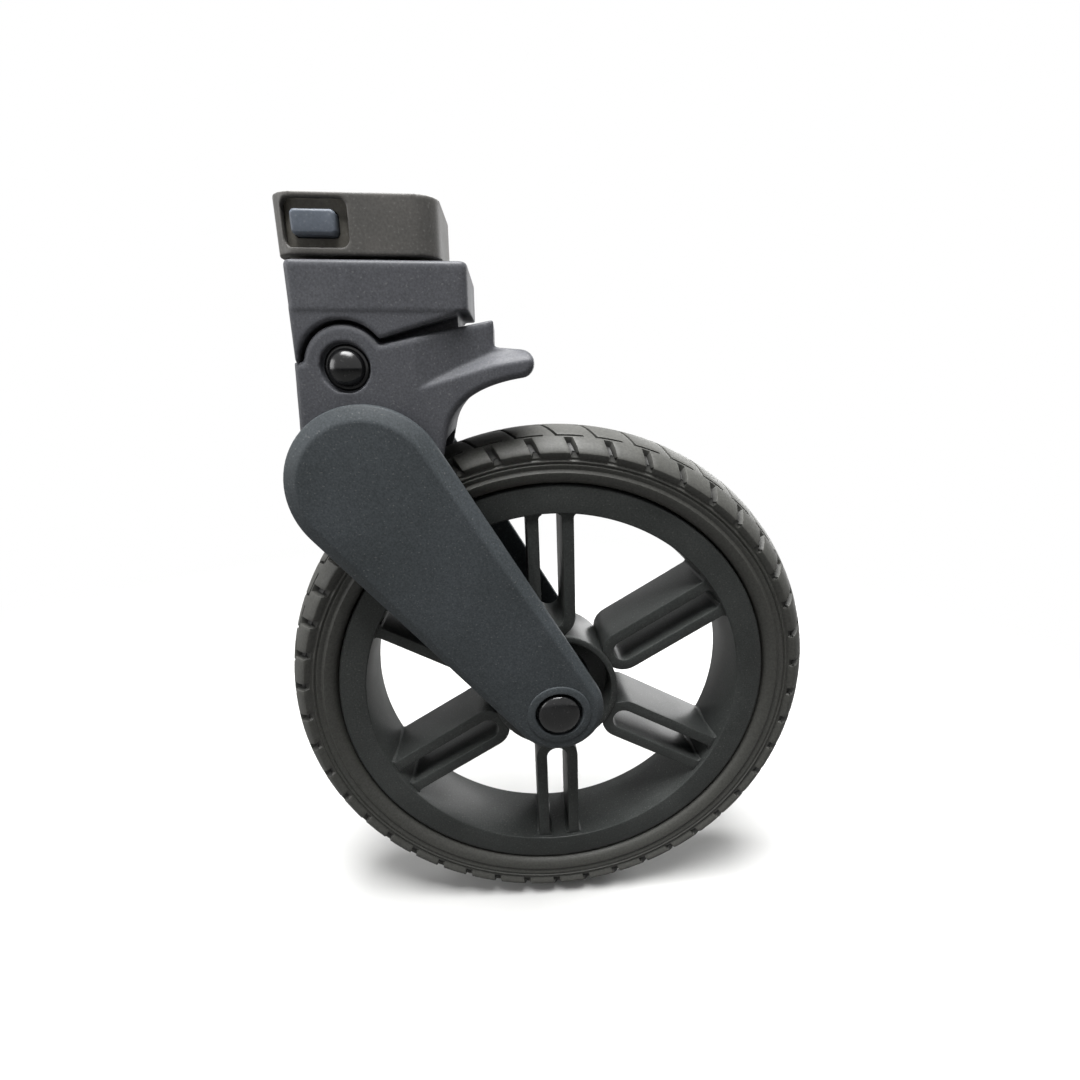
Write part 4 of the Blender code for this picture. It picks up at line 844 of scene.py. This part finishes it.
cameraPlace = {
    "location": (0.03417, -0.1875, -0.04615), "tilt": 90 - 17.708, "heading": -4.016, "lens": 17.667,
    "sensor": 36, "nearest": 0.005,
}
lightPlaces = (   # name, place, size, watts
    ("softboxTop", (0.0, -0.11, 0.62), 0.5, 18.5),
    ("softboxLeft", (-0.9, -0.25, 0.15), 0.5, 4.0),
    ("softboxBack", (0.62, 0.72, 0.25), 0.4, 1.5),
    ("softboxLow", (0.31, 0.28, -0.13), 0.28, 0.95))
lightAim = Vector((0.03, 0, -0.13))
floorLook = {
    "level": -0.2638, "size": 12, "seen": "#d4d4d3", "bounce": "#7c7c7b", "roughness": 0.9, "specular": 0.1,
    "fadeFrom": 0.2, "fadeTo": 0.55,
}
white = (1, 1, 1, 1)
ambient = 0.12


def makeCamera(place):
    camera = bpy.data.objects.new("camera", bpy.data.cameras.new("camera"))
    bpy.context.scene.collection.objects.link(camera)
    camera.location = place["location"]
    camera.rotation_euler = (math.radians(place["tilt"]), 0, math.radians(place["heading"]))
    camera.data.lens = place["lens"]
    camera.data.sensor_width = place["sensor"]
    camera.data.clip_start = place["nearest"]
    bpy.context.scene.camera = camera


def makeLights():
    for name, place, size, watts in lightPlaces:
        lamp = bpy.data.lights.new(name, "AREA")
        lamp.size = size
        lamp.energy = watts
        light = bpy.data.objects.new(name, lamp)
        light.location = place
        light.rotation_euler = (lightAim - Vector(place)).to_track_quat("-Z", "Y").to_euler()
        bpy.context.scene.collection.objects.link(light)


def makeFloor(look):
    # pale to the eye, throws back less light than it shows, and fades to white away from the wheel
    deselect()
    bpy.ops.mesh.primitive_plane_add(size=look["size"], location=(0, 0, look["level"]))
    floor = bpy.context.object
    floor.name = "floor"
    material, tree, shader, place = startMaterial("pale_floor", {
        "Roughness": look["roughness"], "Specular IOR Level": look["specular"]})
    path = addNode(tree, "ShaderNodeLightPath")
    pale = addNode(tree, "ShaderNodeMix",
                   {"data_type": "RGBA", 6: linear(look["bounce"]), 7: linear(look["seen"])},
                   {0: path.outputs["Is Camera Ray"]})
    tree.links.new(pale.outputs[2], shader.inputs["Base Color"])
    reach = addNode(tree, "ShaderNodeVectorMath", {"operation": "LENGTH"}, {0: place})
    fade = addNode(tree, "ShaderNodeMapRange", {"From Min": look["fadeFrom"], "From Max": look["fadeTo"]},
                   {"Value": reach.outputs["Value"]})
    seen = addNode(tree, "ShaderNodeMath", {"operation": "MULTIPLY"},
                   {0: fade.outputs["Result"], 1: path.outputs["Is Camera Ray"]})
    glow = addNode(tree, "ShaderNodeEmission", {"Color": white, "Strength": 1.0})
    blend = addNode(tree, "ShaderNodeMixShader", None, {
        0: seen.outputs["Value"], 1: shader.outputs["BSDF"], 2: glow.outputs["Emission"]})
    output = next(node for node in tree.nodes if node.type == "OUTPUT_MATERIAL")
    tree.links.new(blend.outputs["Shader"], output.inputs["Surface"])
    floor.data.materials.append(material)


def makeWorld():
    # white to the eye and in reflections, dim as a light
    world = bpy.data.worlds.new("studio")
    world.use_nodes = True
    tree = world.node_tree
    tree.nodes.clear()
    path = addNode(tree, "ShaderNodeLightPath")
    mirrorRay = addNode(tree, "ShaderNodeMath", {"operation": "MAXIMUM"},
                        {0: path.outputs["Is Glossy Ray"], 1: path.outputs["Is Transmission Ray"]})
    shown = addNode(tree, "ShaderNodeMath", {"operation": "MAXIMUM"},
                    {0: path.outputs["Is Camera Ray"], 1: mirrorRay.outputs["Value"]})
    dim = addNode(tree, "ShaderNodeBackground", {"Color": white, "Strength": ambient})
    bright = addNode(tree, "ShaderNodeBackground", {"Color": white, "Strength": 1.0})
    mixed = addNode(tree, "ShaderNodeMixShader", None, {
        0: shown.outputs["Value"], 1: dim.outputs["Background"], 2: bright.outputs["Background"]})
    addNode(tree, "ShaderNodeOutputWorld", None, {"Surface": mixed.outputs["Shader"]})
    bpy.context.scene.world = world
    bpy.context.scene.view_settings.view_transform = "Standard"


makeCamera(cameraPlace)
makeLights()
makeFloor(floorLook)
makeWorld()
print("camera, light and floor ready")

# Inner parts keep their solids and get their real finish
innerFinishes = {
    # leg_plug takes the paler socket finish, with painted light in the window
    "leg_plug": socketAbs, "dust_washer": washerNylon, "plug_screw": zincSteel, "swivel_stem": groundSteel,
    "latch_plate": zincSteel, "stem_bearing": groundSteel, "stem_spacer": zincSteel,
    "retaining_ring": zincSteel, "pivot_bush": sinteredBronze, "pivot_pin": groundSteel,
    "axle_bolt": zincSteel, "axle_nut": zincSteel, "arm_dowel": groundSteel, "arm_screw": zincSteel,
    "axle_washer": zincSteel, "wheel_bearing": groundSteel, "hub_sleeve": zincSteel,
}
for nodeName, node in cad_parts.items():
    for start, finish in innerFinishes.items():
        if nodeName.startswith(start):
            node.data.materials.clear()
            node.data.materials.append(finish)
print("inner parts finished")
